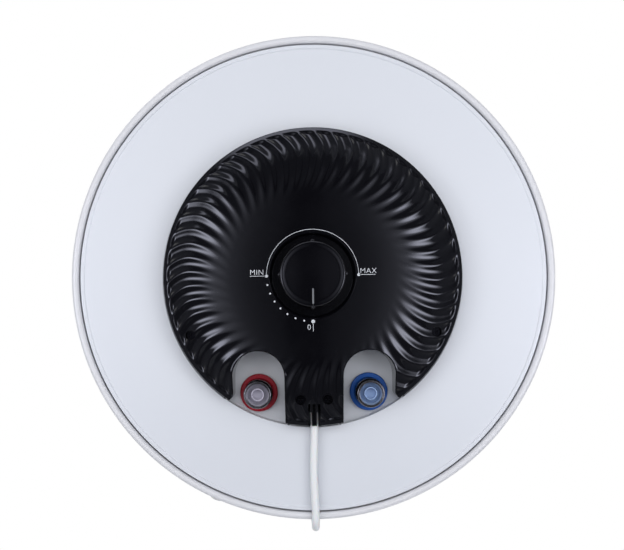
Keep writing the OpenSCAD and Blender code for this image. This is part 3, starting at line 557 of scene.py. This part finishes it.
class AddStage(bpy.types.Operator):
    """Adds the camera under the heater, the lamps, the floor and the white surroundings"""

    bl_idname = "heater.add_stage"
    bl_label = "Stage"

    def execute(self, context):
        s = context.scene.heater_stage
        self.add_camera(context, s, HEM + context.scene.heater_shell.cap_inset)
        self.add_lamps(s)
        self.add_room()
        self.add_air(context, s)
        context.scene.view_settings.view_transform = "Standard"
        return {"FINISHED"}

    def add_camera(self, context, s, cap_z):
        """The camera under the heater, with the front of the heater at the top of the picture."""
        data = bpy.data.cameras.new("camera")
        data.sensor_width = 36
        data.lens = s.lens
        data.shift_x, data.shift_y = s.shift
        camera = link("camera", data)
        aim(camera, (AXIS.x + s.camera_side, AXIS.y + s.camera_back, cap_z - s.camera_drop),
            (AXIS.x + s.aim_side, AXIS.y + s.aim_back, cap_z), (math.sin(s.roll), -math.cos(s.roll), 0))
        context.scene.camera = camera

    def add_room(self):
        """The floor, and the dark things below the heater that its gloss mirrors."""
        stage_thing("pale_floor", level_board((-5, -5), (5, 5), -1.62), "dfe0e2", cast=True)
        stage_thing("camera_rig", level_board((-1.5, -1.6), (1.5, 1.1), -1.5), "64656a")
        stage_thing("camera_arm", level_board((-0.056, -1.2), (0.04, 0.6), -1.34), "050505")
        curtain = bmesh.new()
        bmesh.ops.create_cone(curtain, cap_ends=False, segments=64, radius1=1.6, radius2=1.6, depth=1.2)
        bmesh.ops.translate(curtain, vec=(AXIS.x, AXIS.y, -0.9), verts=curtain.verts)
        stage_thing("dark_curtain", curtain, "96979e")

    def add_lamps(self, s):
        """Panels that light the heater, and the cloths that its gloss shows in their place."""
        hem, body = (0, AXIS.y, HEM), (0, AXIS.y, -0.2)
        frontwards, upwards = (0, -1, 0), (0, 0, 1)
        for side, name, out, back in ((-1, "left_panel", 0.78, 0.0), (1, "right_panel", 0.68, 0.1)):
            place, target = (side * out, AXIS.y + back, -1.24), (side * 0.1, AXIS.y + back, HEM)
            panel_lamp(name, place, target, frontwards, 0.5, 0.75, s.side_light, in_gloss=False)
            softbox(name + "_cloth", place, target, frontwards, 0.7, 0.6, s.side_shine, 0.1, 0.2)
            below = (side * 0.85, AXIS.y, -1.45)
            softbox(name + "_glow", below, (below[0], AXIS.y, 0), frontwards, 1.6, 1.2, s.side_glow, 0.3, 0.3)
        panel_lamp("under_panel", (0, AXIS.y - 0.1, -1.6), hem, frontwards, 1.25, 1.1, s.under_light,
                   in_gloss=False)
        panel_lamp("front_panel", (-1.3, -2.2, 0.9), body, upwards, 1.2, 1.2, s.front_light)
        panel_lamp("back_panel", (1.1, 2.2, 0.7), body, upwards, 1.2, 1.2, s.back_light)
        softbox("front_cloth", (-0.15, AXIS.y - 1.2, -0.93), hem, upwards, 1.5, 0.4, s.front_shine, 0.4, 0.3)

    def add_air(self, context, s):
        """Soft light from all round, which the camera and reflections see as plain white."""
        world = bpy.data.worlds.new("white_room")
        world.use_nodes = True
        tree = world.node_tree
        tree.nodes.clear()
        rays = add(tree, "ShaderNodeLightPath").outputs
        seen = add(tree, "ShaderNodeMath", {0: rays["Is Camera Ray"], 1: rays["Is Glossy Ray"]},
                   operation="MAXIMUM")
        seen = add(tree, "ShaderNodeMath", {0: seen.outputs[0], 1: rays["Is Transmission Ray"]},
                   operation="MAXIMUM")
        air = add(tree, "ShaderNodeBackground", {"Color": (*s.air_tint, 1), "Strength": s.air_light})
        white = add(tree, "ShaderNodeBackground", {"Color": (1, 1, 1, 1), "Strength": 1.0})
        both = add(tree, "ShaderNodeMixShader",
                   {0: seen.outputs[0], 1: air.outputs[0], 2: white.outputs[0]})
        add(tree, "ShaderNodeOutputWorld", {"Surface": both.outputs[0]})
        context.scene.world = world


# ---- mains lead ---------------------------------------------------------

# The lead's sizes and the points of its route are those of the part's source.
CORD_D = 7.2
ROUTE = [(0, -128, -464), (0, -110, -464), (-1, -85, -464), (-1, -65, -464), (-0.5, -50, -464),
         (0, -40, -464), (0, -34, -464), (0, -30.9, -463.6), (0, -28, -462.4), (0, -25.5, -460.5),
         (0, -23.6, -458), (0, -22.4, -455.1), (0, -22, -452), (0, -22, -440), (-0.5, -21.8, -415),
         (-2.5, -20.8, -375), (-6, -19, -320), (-11, -16.8, -260), (-15, -14.4, -205),
         (-16.4, -13.4, -160), (-16.4, -13.4, -138)]
TAIL = [(-103.6, -20.6, -138), (-104, -20.6, -145), (-105.2, -20.6, -152), (-106.4, -20.6, -158),
        (-107, -20.6, -163), (-107, -20.6, -166)]
COIL_CENTRE = Vector((-60, -17, -137.5))
COIL_R = 40
COIL_TURNS = 3.5


def coil_points():
    """The lead's turns: two on the near side, inwards, and then two on the far side, outwards."""
    outer, inner = COIL_R + CORD_D / 2, COIL_R - CORD_D / 2
    near, far = CORD_D / 2, -CORD_D / 2
    lanes = [(outer, near), (inner, near), (inner, far), (outer, far)]
    points = []
    per_turn = 24
    for i in range(1, round(COIL_TURNS * per_turn)):
        turn = i / per_turn
        lane = int(turn)
        t = smooth((turn - lane - 0.8) / 0.2)
        here, there = lanes[lane], lanes[min(lane + 1, 3)]
        radius = here[0] + (there[0] - here[0]) * t
        depth = here[1] + (there[1] - here[1]) * t
        a = math.tau * turn
        points.append(COIL_CENTRE + Vector((radius * math.cos(a), depth, radius * math.sin(a))))
    return points


class AddLead(bpy.types.Operator):
    """Adds the mains lead with its coil, its plug, its tie and the boot that it leaves through"""

    bl_idname = "heater.add_lead"
    bl_label = "Mains lead"

    def execute(self, context):
        data = bpy.data.curves.new("mains_lead", "CURVE")
        data.dimensions = "3D"
        data.bevel_depth = CORD_D / 2 * MM
        data.bevel_resolution = 6
        data.resolution_u = 6
        data.use_fill_caps = True
        spline = data.splines.new("BEZIER")
        points = [Vector(p) for p in ROUTE] + coil_points() + [Vector(p) for p in TAIL]
        spline.bezier_points.add(len(points) - 1)
        for knot, point in zip(spline.bezier_points, points):
            knot.co = point * MM
            knot.handle_left_type = knot.handle_right_type = "AUTO"
        lead = dress(link("mains_lead", data), "white_pvc", replaces=["power_cord", "cord_coil"])
        boot = self.add_boot()
        plug = self.add_plug()
        tie = softened("cord_tie", "black_plastic", 0.4)
        return {"FINISHED"}

    def add_boot(self):
        """The flared black boot, squarish so that it can't turn, which leaves the lead's flanks bare."""
        bore = CORD_D / 2 + 0.15
        reach = GLAND_HIGH.y - GLAND_LOW.y - 1.8
        thin, wide = 5.0, GLAND_HIGH.x
        bm = turned([(bore, 3), (thin - 0.6, 0), (thin, 0.6), (thin + 0.5, reach * 0.35),
                     (thin + 1.3, reach * 0.65), (wide - 0.4, reach - 1.2), (wide, reach - 0.6)]
                    + arc(wide - 0.6, reach - 0.6, 0.6, 0, 90, 3) + [(bore, reach)], 64)
        self.square(bm, bore + 0.3, 3.4)
        bm = cut_away(bm, self.boot_windows(reach - 12.5, reach + 1))
        bmesh.ops.rotate(bm, verts=bm.verts, matrix=Matrix.Rotation(math.radians(-90), 3, "X"))
        bmesh.ops.translate(bm, verts=bm.verts, vec=(0, GLAND_LOW.y, ROUTE[0][2] - HEM / MM))
        tidy(bm)
        return piece("cord_boot", bm, "black_gloss", replaces=["cord_gland"])

    def square(self, bm, inner, power):
        """Swells a round form past a radius into a squircle of that power."""
        for vert in bm.verts:
            r = vert.co.xy.length
            if r > inner:
                vert.co.xy *= (abs(vert.co.x / r) ** power + abs(vert.co.y / r) ** power) ** (-1 / power)

    def boot_windows(self, low, high):
        """Two blocks beside the rib that covers the middle of the lead, on the side seen from below."""
        rib, wide, near, far = 2.2, 9, 0.4, 12
        blocks = bmesh.new()
        for start in (rib, -wide):
            end = start + wide - rib
            prism(blocks, [(start, near), (end, near), (end, far), (start, far)], low, high)
        return blocks

    def add_plug(self):
        """The moulded round plug, with ribs on its relief so that it bends evenly."""
        sheath, plug_r, plug_l = CORD_D / 2, 15.6, 66
        ribs = [(sheath + 1.2, 0), (sheath + 1.2, 2)]
        for i in range(6):
            r, z = sheath + 1.4 + i * 0.55, 3 + i * 3.8
            ribs += [(r, z), (r + 0.1, z + 1.9), (r - 0.9, z + 2.2), (r - 0.8, z + 3.5)]
        outline = ([(0, 0)] + ribs + [(8, 26), (12, 30)] + arc(10.2, 42, 3.2, -20, 20, 4)
                   + [(plug_r - 1, 50)] + arc(plug_r - 1, 53, 1, -60, 0, 3)
                   + arc(plug_r - 1.5, plug_l - 1.5, 1.5, 0, 90, 4) + [(0, plug_l)])
        bm = turned(outline, 72, closed=False)
        bmesh.ops.scale(bm, vec=(1, 1, -1), verts=bm.verts)
        bmesh.ops.translate(bm, vec=TAIL[-1], verts=bm.verts)
        tidy(bm)
        return piece("mains_plug", bm, "white_pvc", IN_FRAME, replaces=["plug_body"])


# ---- jacket and end caps ------------------------------------------------

# The well's floor ends at this radius, out of sight under the cover.
WELL_HOLE_R = 71.8


class AddShell(bpy.types.Operator):
    """Adds the jacket with its rolled hems, and the two end caps"""

    bl_idname = "heater.add_shell"
    bl_label = "Jacket and end caps"

    def execute(self, context):
        s = context.scene.heater_shell
        self.jacket(s)
        self.cap("bottom_cap_piece", "bottom_cap", s, self.well(context))
        self.cap("top_cap_piece", "top_cap", s, None)
        return {"FINISHED"}

    def jacket(self, s):
        """The jacket's sheet, rolled over at both ends into a hem with a turned lip."""
        hem, sheet, lip = s.hem / MM, s.sheet / MM, s.turned_edge / MM
        middle = BODY_R - hem
        inner = hem - sheet
        low = (arc(middle, hem, hem, 0, -180, 16) + [(middle - hem, hem + lip), (middle - inner, hem + lip)]
               + arc(middle, hem, inner, -180, 0, 10))
        high = [(r, BODY_H - z) for r, z in reversed(low)]
        bm = turned(low + high, 240)
        tidy(bm)
        piece("jacket", bm, "jacket_enamel", replaces=["outer_jacket"])

    def well(self, context):
        """Outline of the cap's inner edge: round the corner, up the wall and in along the floor."""
        s = context.scene.heater_shell
        wall = (context.scene.heater_cover.radius + s.well_gap) / MM
        sheet, inset = s.cap_sheet / MM, s.cap_inset / MM
        corner = 0.6
        outside = arc(wall + corner, inset + corner, corner, -90, -180, 8) + [(wall, FLOOR_Z - 1)]
        outside += arc(wall - 1, FLOOR_Z - 1, 1, 0, 90, 4) + [(WELL_HOLE_R, FLOOR_Z)]
        inside = [(WELL_HOLE_R, FLOOR_Z + sheet), (wall + sheet, FLOOR_Z + sheet)]
        return outside + inside + [(wall + sheet, inset + sheet)]

    def cap(self, name, node, s, well):
        """An end cap: turned edge, rolled bead, flat, and the well or the middle."""
        sheet, inset, bead, rise = (v / MM for v in (s.cap_sheet, s.cap_inset, s.bead, s.bead_rise))
        edge = BODY_R - (2 * s.hem + s.seam) / MM
        top = inset - rise + sheet + s.turned_edge / MM
        outside = [(edge, top)] + arc(edge - sheet, inset - rise + sheet, sheet, 0, -90, 6)
        foot = edge - bead + 0.6
        outside += [(foot, inset - rise)]
        for i in range(1, 7):
            outside.append((foot - (rise + 0.6) * i / 6, inset - rise * (1 - smooth(i / 6))))
        back = [(edge - bead - 1, inset + sheet), (edge - bead + 1, inset - rise + sheet),
                (edge - sheet - 0.4, inset - rise + sheet), (edge - sheet, inset - rise + sheet + 0.4),
                (edge - sheet, top)]
        bm = bmesh.new()
        if well:
            lathe(bm, outside + well + back, 240)
        else:
            lathe(bm, outside + [(0, inset)], 240, closed=False)
            lathe(bm, [(0, inset + sheet)] + back + [(edge, top)], 240, closed=False)
            bmesh.ops.scale(bm, vec=(1, 1, -1), verts=bm.verts)
            bmesh.ops.translate(bm, vec=(0, 0, BODY_H), verts=bm.verts)
        tidy(bm)
        piece(name, bm, "cap_enamel", replaces=[node])


# ---- fluted cover -------------------------------------------------------

# The notches' arches and their rounded corners, the screws and their recesses, and where the
# first flute starts, as a share of one flute's width.
NOTCH_X, NOTCH_Y, NOTCH_R = PIPE_X - 1, 88.6, 23.0
LOBE_R, TAB_R = 6.0, 4.0
SCREWS = [(-109, 51), (109, 51), (-12, 109), (12, 109)]
SCREW_SINK, SINK_R = 9.0, 4.6
FIRST_CREST = 0.42


class Dome:
    """The cover's form: a flat crown, a roll that ends in a plain band, and curved flutes in the roll."""

    # The crown is a superellipse, (1 - x ** CROWN_IN) ** CROWN_OUT. Past ROLL_IN of the radius it
    # goes over into a parabola that has the slope ROLL_SLOPE at the edge.
    CROWN_IN, CROWN_OUT = 4.5, 0.45
    ROLL_IN, ROLL_SLOPE = 0.86, 0.62
    # The flutes run straight out at SWING_R, and bend away from there with these radii, in
    # millimetres. They come up from FADE and have their full depth at FULL of the radius.
    SWING_R, SWING_IN, SWING_OUT = 107.7, 68, 22
    FADE, FULL = 0.53, 0.9
    RUN_OUT = 2.5

    def __init__(self, s):
        self.edge = s.radius / MM
        self.rim = self.edge - s.draft / MM
        self.end = self.rim - s.band / MM
        self.fade = self.edge * self.FADE
        self.full = self.edge * self.FULL
        self.flutes = s.flutes
        self.depth = s.depth / MM
        self.base = 2.0
        self.rise = self.base - CROWN_Z
        power, share = self.CROWN_IN, self.ROLL_IN
        flat = 1 - share ** power
        self.fall = power * self.CROWN_OUT * share ** (power - 1) * flat ** (self.CROWN_OUT - 1)
        self.bend = (self.ROLL_SLOPE * self.edge / self.rise - self.fall) / (1 - share)

    def crown(self, x):
        return (1 - x ** self.CROWN_IN) ** self.CROWN_OUT

    def roll(self, x):
        past = x - self.ROLL_IN
        return self.crown(self.ROLL_IN) - past * (self.fall + past * self.bend / 2)

    def height(self, r):
        """How far the form stands out from its base at a radius."""
        x = min(1.0, r / self.edge)
        return self.rise * (self.crown(x) if x < self.ROLL_IN else self.roll(x))

    def surface_z(self, r):
        return self.base - self.height(r)

    def slope(self, r):
        return (self.height(min(r + 0.05, self.edge)) - self.height(r - 0.05)) / 0.1

    def turn(self, r):
        """How far the flutes have swung from straight, in radians."""
        d = r - self.SWING_R
        bend = self.SWING_IN if d < 0 else self.SWING_OUT
        return d * d / (2 * bend) / r

    def share(self, r):
        """How much of the flutes' depth there is at a radius."""
        return smooth((r - self.fade) / (self.full - self.fade)) * smooth((self.end - r) / self.RUN_OUT)

    def wave(self, phase, share):
        """0 on a crest and 1 in a hollow; the crests are sharper where the flutes are deep."""
        blunt = 0.9 - 0.6 * share
        return (math.hypot(math.sin(phase), blunt) - blunt) / (math.hypot(1, blunt) - blunt)


def notch_outline(dome, grow=0.0, steps=10):
    """Plan of the right-hand pipe notch: tab corner, arch and lobe, as three runs of points."""
    outer, inner = NOTCH_X + NOTCH_R + grow, NOTCH_X - NOTCH_R - grow
    lobe, tab = max(0.5, LOBE_R - grow), max(0.5, TAB_R - grow)
    lobe_y = math.sqrt((dome.edge - lobe) ** 2 - (outer + lobe) ** 2)
    tab_y = math.sqrt((dome.edge - tab) ** 2 - (inner - tab) ** 2)
    lobe_end = math.degrees(math.atan2(lobe_y, outer + lobe))
    tab_end = math.degrees(math.atan2(tab_y, inner - tab))
    corner = arc(inner - tab, tab_y, tab, tab_end, 0, steps)
    arch = arc(NOTCH_X, NOTCH_Y, NOTCH_R + grow, 180, 360, 4 * steps)
    tip = arc(outer + lobe, lobe_y, lobe, 180, lobe_end, steps)
    return corner, arch, tip


class AddCover(bpy.types.Operator):
    """Adds the fluted black cover with its knob recess, pipe notches and screw recesses"""

    bl_idname = "heater.add_cover"
    bl_label = "Fluted cover"

    def execute(self, context):
        s = context.scene.heater_cover
        dome = Dome(s)
        bm = self.blank(dome, s)
        hull = BVHTree.FromBMesh(bm)
        bm = cut_away(bm, self.cutters(dome, s.lip / MM))
        for side in (1, -1):
            self.lip(bm, dome, hull, s.lip / MM, side)
        bmesh.ops.recalc_face_normals(bm, faces=bm.faces)
        piece("fluted_cover", bm, "black_gloss", replaces=["service_cover"], crease=42)
        return {"FINISHED"}

    def blank(self, dome, s):
        """The whole round cover: an outline with the knob's recess in it, spun, and then fluted.

        Its rings stand closer and closer towards the flutes' ends, where the form turns most.
        """
        recess, depth = s.recess / 2 / MM, s.recess_depth / MM
        floor = CROWN_Z + depth
        hub, soft, lip = 9.0, 1.6, 2.2
        outline = [(hub, FLOOR_Z), (hub, floor + 0.6), (hub + 0.6, floor)]
        outline += arc(recess - soft, floor - soft, soft, 90, 0, 6)
        outline += arc(recess + lip, CROWN_Z + lip, lip, 180, 270, 8)
        outline += [(r, dome.surface_z(r)) for r in (42, 48, 54, 60, 64, 68)]
        rings = 56
        radii = [dome.end - (dome.end - dome.fade) * (i / rings) ** 1.5 for i in range(rings, -1, -1)]
        radii += [dome.end + 0.4, dome.end + 1.6]
        outline += [(r, dome.surface_z(r)) for r in radii]
        rim_r = 0.9
        outline += arc(dome.rim - rim_r, dome.surface_z(dome.rim - rim_r) + rim_r, rim_r, -62, -8, 5)
        outline += [(dome.edge, dome.base), (dome.edge, FLOOR_Z)]
        bm = turned(outline, dome.flutes * s.columns)
        self.flute(bm, dome)
        tidy(bm)
        return bm

    def flute(self, bm, dome):
        """Swings the spun form's columns along the flutes, and sinks it square to its surface."""
        for vert in bm.verts:
            r = math.hypot(vert.co.x, vert.co.y)
            if r < dome.fade - 0.01:
                continue
            a = math.atan2(vert.co.y, vert.co.x)
            slope = dome.slope(r)
            n = math.hypot(1, slope)
            share = dome.share(r)
            cut = dome.depth * share * dome.wave(a * dome.flutes / 2, share)
            a -= dome.turn(r) - FIRST_CREST * math.tau / dome.flutes
            r += cut * slope / n
            vert.co = (r * math.cos(a), r * math.sin(a), vert.co.z + cut / n)

    def cutters(self, dome, lip):
        """The pipe notches, the screws' recesses and the boot's slot as one mesh."""
        bm = bmesh.new()
        corner, arch, tip = notch_outline(dome, lip)
        far = 2 * dome.edge
        end = math.atan2(tip[-1][1], tip[-1][0])
        plan = corner + arch + tip + [(far * math.cos(end), far * math.sin(end)), (corner[0][0], far)]
        low, high = CROWN_Z - 5, FLOOR_Z + 5
        for side in (1, -1):
            prism(bm, [(side * x, y) for x, y in plan], low, high)
        for x, y in SCREWS:
            top = dome.surface_z(math.hypot(x, y)) + SCREW_SINK
            lathe(bm, [(0, low), (SINK_R, low), (SINK_R, top), (0, top)], 40, (x, y), closed=False)
        start, gap = GLAND_LOW.y, 0.3
        thin, wide = 5 + gap, GLAND_HIGH.x + gap
        prism(bm, [(-thin, start), (thin, start), (wide, far), (-wide, far)], low, 6)
        tidy(bm)
        return bm

    def lip(self, bm, dome, hull, lip, side):
        """A rounded edge along a pipe notch, and the wall that drops from it to the well's floor."""
        corner, arch, tip = notch_outline(dome, 0, 14)
        path = corner[:-1] + arch + tip[1:]
        last = None
        for i, (x, y) in enumerate(path):
            before, after = path[max(i - 1, 0)], path[min(i + 1, len(path) - 1)]
            along = Vector((after[0] - before[0], after[1] - before[1])).normalized()
            out = Vector((along.y, -along.x))
            rim = Vector((x, y)) + out * lip
            hit = hull.ray_cast(Vector((rim.x, rim.y, CROWN_Z - 20)), Vector((0, 0, 1)))[0]
            top = hit.z if hit else dome.base
            section = [(-p, top + q) for p, q in arc(-lip, lip, lip, -90, 0, 6)]
            section += [(0, FLOOR_Z - 0.05), (lip + 1, FLOOR_Z - 0.05), (lip + 1, top + 0.4)]
            ring = [bm.verts.new((side * (x + out.x * p), y + out.y * p, z)) for p, z in section]
            if last is None:
                bm.faces.new(ring)
            else:
                for k in range(len(ring)):
                    j = (k + 1) % len(ring)
                    bm.faces.new((last[k], last[j], ring[j], ring[k]))
            last = ring
        bm.faces.new(last)


# ---- knob and dial ------------------------------------------------------

class AddKnob(bpy.types.Operator):
    """Adds the round knob with its four grip ribs and its pointer"""

    bl_idname = "heater.add_knob"
    bl_label = "Knob"

    def execute(self, context):
        low, face = KNOB_HIGH.z, KNOB_LOW.z
        radius = 28.4
        edge, taper, skin = 1.5, 0.6, 2.4
        rim = radius - taper
        crown_r = 588
        crown = [(r, face + 0.1 + r * r / (2 * crown_r)) for r in (0, 4, 8, 12, 16, 20, 22.5)]
        outline = (crown + [(rim - 3.6, face + 0.55), (rim - 2.4, face)]
                   + arc(rim - edge, face + edge, edge, -90, 0, 7)
                   + [(radius, low), (radius - skin, low), (rim - skin, face + 5), (0, face + 5)])
        bm = turned(outline, closed=False)
        for i in range(4):
            a = math.pi / 2 * i
            self.rib(bm, (rim + 0.2) * math.cos(a), (rim + 0.2) * math.sin(a), face + 1.6, low)
        tidy(bm)
        piece("knob", bm, "black_gloss", body="knob", replaces=["thermostat_knob"])
        self.pointer(face + 0.45)
        return {"FINISHED"}

    def rib(self, bm, x, y, low, high):
        """A grip rib with a round end."""
        r = 1.9
        lathe(bm, arc(0, low + r, r, -90, 0, 6) + [(r, high), (0, high)], 24, (x, y), closed=False)

    def pointer(self, face):
        """A fine raised rib that points from the middle to the knob's edge."""
        bm = bmesh.new()
        start, end, half, rise = 13.0, 26.0, 0.75, 0.45
        prism(bm, arc(0, start, half, 180, 360, 8) + arc(0, end, half, 0, 180, 8), face - rise, face + 0.2)
        top = [e for e in bm.edges if all(v.co.z < face - rise + 0.01 for v in e.verts)]
        bevel(bm, top, 0.25)
        tidy(bm)
        piece("pointer", bm, "grey_inlay", body="knob", replaces=["knob_pointer"])


class AddDial(bpy.types.Operator):
    """Prints the dial on the cover: an arc, dots, lines and three marks"""

    bl_idname = "heater.add_dial"
    bl_label = "Dial"

    def execute(self, context):
        s = context.scene.heater_dial
        radius, half = s.radius / MM, s.line / 2 / MM
        bm = bmesh.new()
        ring = arc(0, 0, radius + half, 182, 358, 72)
        back = arc(0, 0, radius - half, 358, 182, 72)
        self.inked(bm, ring + back)
        for angle, dot_r in ((180, 1.3), (0, 1.3), (90, 1.55)):
            self.dot(bm, radius, angle, dot_r)
        steps = 8
        for i in range(1, steps):
            self.dot(bm, radius, 180 - 90 / steps * i, 0.8)
        end = radius + 14.5
        for side in (-1, 1):
            self.inked(bm, [(side * radius, -half), (side * end, -half), (side * end, half),
                            (side * radius, half)])
        end = radius + 8.6
        self.inked(bm, [(-half, radius), (half, radius), (half, end), (-half, end)])
        self.word(bm, s.low_mark, -radius - 8.4, -3.1)
        self.word(bm, s.high_mark, radius + 8.4, -3.1)
        self.word(bm, s.rest_mark, -3.6, radius + 5.2)
        tidy(bm)
        piece("dial_print", bm, "dial_ink")
        return {"FINISHED"}

    def inked(self, bm, outline):
        """A print of that outline, thick enough to lie on the cover's crown."""
        prism(bm, outline, CROWN_Z - 0.06, CROWN_Z + 0.2)

    def dot(self, bm, radius, angle, dot_r):
        a = math.radians(angle)
        x, y = radius * math.cos(a), radius * math.sin(a)
        self.inked(bm, arc(x, y, dot_r, 0, 360, 20)[:-1])

    def word(self, bm, text, x, y):
        """A word in plain thin capitals, read from below with the front of the heater at the top."""
        curve = bpy.data.curves.new(text, "FONT")
        curve.body = text
        curve.size = 4.6 / 0.7  # capitals 4.6 mm tall, at 0.7 of the size
        curve.align_x = "CENTER"
        curve.align_y = "CENTER"
        curve.extrude = 0.13
        curve.offset = -0.014 * curve.size
        curve.space_character = 1.08
        sign = bpy.data.objects.new(text, curve)
        mesh = bpy.data.meshes.new_from_object(sign)
        part = bmesh.new()
        part.from_mesh(mesh)
        bmesh.ops.scale(part, vec=(1, -1, 1), verts=part.verts)
        bmesh.ops.translate(part, vec=(x, y, CROWN_Z + 0.07), verts=part.verts)
        part.to_mesh(mesh)
        part.free()
        bm.from_mesh(mesh)
        bpy.data.objects.remove(sign)
        bpy.data.curves.remove(curve)
        bpy.data.meshes.remove(mesh)


# ---- pipes --------------------------------------------------------------

class AddPipes(bpy.types.Operator):
    """Adds the two threaded pipe stubs with their liners and coloured collars"""

    bl_idname = "heater.add_pipes"
    bl_label = "Pipes"

    def execute(self, context):
        for side, word, shade, lining in ((-1, "hot", "red_plastic", "hot_liner"),
                                          (1, "cold", "blue_plastic", "cold_liner")):
            centre = (side * PIPE_X, PIPE_Y)
            self.stub(word, centre)
            self.liner(word, centre, lining)
            self.collar(word, centre, shade)
        return {"FINISHED"}

    def stub(self, word, centre):
        """A plain pipe with a fine thread round its end."""
        low, high = PIPE_LOW.z, PIPE_HIGH.z
        bore, crest, plain, pitch, deep = 9.8, 12.6, 12.8, 1.814, 0.7
        root = crest - deep
        threaded = 18.0
        outline = ([(10.3, high), (10.3, low + 5), (bore, low + 4), (bore, low + 0.6)]
                   + arc(bore + 0.5, low + 0.5, 0.5, 180, 270, 4)
                   + [(11.4, low), (11.7, low + 0.2), (root, low + 0.9), (root, low + threaded - 1.5),
                      (plain, low + threaded), (plain, high)])
        bm = turned(outline, 96, centre)
        self.thread(bm, centre, low + 2.2, root, deep, pitch, 7.5)
        tidy(bm, 1e-5)
        # The stub's zinc is darkened with painted shade for its thread.
        piece(word + "_stub", bm, "pipe_zinc", replaces=[word + "_nipple"])

    def thread(self, bm, centre, low, root, deep, pitch, turns):
        """A ridge wound round the pipe, which runs out at both ends."""
        ridge = [(root - 0.2, 0.05), (root + deep * 0.8, pitch * 0.38), (root + deep, pitch * 0.5),
                 (root + deep * 0.8, pitch * 0.62), (root - 0.2, pitch * 0.95)]
        verts = [bm.verts.new((centre[0] + r, centre[1], low + z)) for r, z in ridge]
        face = bm.faces.new(verts)
        steps = round(turns * 48)
        ring = list(face.verts) + list(face.edges) + [face]
        bmesh.ops.spin(bm, geom=ring, cent=(*centre, 0), axis=(0, 0, 1),
                       dvec=(0, 0, pitch * turns / steps), angle=math.tau * turns, steps=steps,
                       use_merge=False, use_duplicate=False)
        for vert in [v for v in bm.verts if v.link_faces and v.is_valid]:
            rise = vert.co.z - low
            offset = Vector((vert.co.x - centre[0], vert.co.y - centre[1]))
            if offset.length <= root + 0.01 or offset.length > root + deep + 0.01:
                continue
            if rise > pitch * (turns + 1) + 0.2:
                continue
            start = min(1.0, max(0.0, rise / pitch - 0.3) / 0.7)
            end = min(1.0, max(0.0, (pitch * (turns + 0.6) - rise) / pitch))
            keep = min(1.0, start, end)
            offset *= (root + (offset.length - root) * keep) / offset.length
            vert.co.x, vert.co.y = centre[0] + offset.x, centre[1] + offset.y

    def liner(self, word, centre, slot):
        """The plastic liner: a sleeve in the bore, with a narrower tube inside that a flap closes."""
        low = PIPE_LOW.z + 7
        wide, tube, wall = 10.25, 6.1, 1.6
        inner = tube - wall
        outline = ([(inner, low - 2.4)] + arc(inner + 0.7, low - 2.3, 0.7, 180, 360, 8)
                   + [(tube, low + 3)] + arc(tube + 1, low + 3, 1, 180, 90, 4)
                   + [(wide - 1.4, low + 4.6), (wide - 1.2, low), (wide, low), (wide, low + 40),
                      (wide - 1.2, low + 40), (wide - 1.2, low + 9.5), (inner, low + 6)])
        bm = turned(outline, 72, centre)
        flap = [(0, low + 3.4), (inner + 0.2, low + 3.4), (inner + 0.2, low + 4.2), (0, low + 4.2)]
        lathe(bm, flap, 48, centre, closed=False)
        tidy(bm)
        piece(word + "_liner_piece", bm, slot, replaces=[word + "_liner"])

    def collar(self, word, centre, slot):
        """The coloured collar: a round flange under the well's floor, with a neck through it."""
        low, high = COLLAR_LOW.z, COLLAR_HIGH.z
        wide = (COLLAR_HIGH.x - COLLAR_LOW.x) / 2
        bore, neck = 12.9, 14.75
        outline = ([(bore, high), (bore, low + 0.8)] + arc(bore + 0.8, low + 0.8, 0.8, 180, 270, 4)
                   + arc(wide - 1.2, low + 1.2, 1.2, -90, 0, 6)
                   + [(wide, FLOOR_Z - 0.02), (neck, FLOOR_Z - 0.02), (neck, high)])
        bm = turned(outline, 96, centre)
        tidy(bm)
        piece(word + "_collar_piece", bm, slot, replaces=[word + "_collar"])


# ---- brackets, screws and the pieces inside -----------------------------

class AddFittings(bpy.types.Operator):
    """Rounds the edges of the brackets and screws, and gives every inner piece its material"""

    bl_idname = "heater.add_fittings"
    bl_label = "Brackets, screws and inner pieces"

    def execute(self, context):
        softened("wall_bracket", "zinc_steel", 0.6)
        softened("lower_stays", "zinc_steel", 0.6)
        # The screws' near-black steel includes painted shade for the recesses they sit in.
        softened("cover_screws", "black_steel", 0.25, angle=40)
        slots = {row["node"]: row["material_slot"] for row in frame["record"]["subparts"]}
        for name, thing in frame["nodes"].items():
            material = finish(slots[name])
            if not thing.data.materials:
                thing.data.materials.append(material)
            for holder in thing.material_slots:
                holder.material = material
        return {"FINISHED"}


# ---- the add-on ---------------------------------------------------------

STEPS = (AddStage, AddLead, AddShell, AddCover, AddKnob, AddDial, AddPipes, AddFittings)
SETTINGS = {"heater_shell": HeaterShellSettings, "heater_cover": HeaterCoverSettings,
            "heater_dial": HeaterDialSettings, "heater_finish": HeaterFinishSettings,
            "heater_stage": HeaterStageSettings}


class HeaterPanel(bpy.types.Panel):
    """Lists the water heater's settings and steps"""

    bl_idname = "VIEW3D_PT_heater"
    bl_label = "Water heater"
    bl_space_type = "VIEW_3D"
    bl_region_type = "UI"
    bl_category = "Water heater"

    def draw(self, context):
        for name in SETTINGS:
            group = getattr(context.scene, name)
            box = self.layout.box()
            for field in group.bl_rna.properties:
                if not field.is_readonly and field.identifier != "name":
                    box.prop(group, field.identifier)
        for step in STEPS:
            self.layout.operator(step.bl_idname)


def register():
    for cls in (*SETTINGS.values(), *STEPS, HeaterPanel):
        bpy.utils.register_class(cls)
    for name, cls in SETTINGS.items():
        setattr(bpy.types.Scene, name, bpy.props.PointerProperty(type=cls))


def unregister():
    for name in SETTINGS:
        delattr(bpy.types.Scene, name)
    for cls in (HeaterPanel, *reversed(STEPS), *SETTINGS.values()):
        bpy.utils.unregister_class(cls)


def main():
    register()
    for step in STEPS:
        group, name = step.bl_idname.split(".")
        getattr(getattr(bpy.ops, group), name)()


if __name__ == "__main__":
    main()
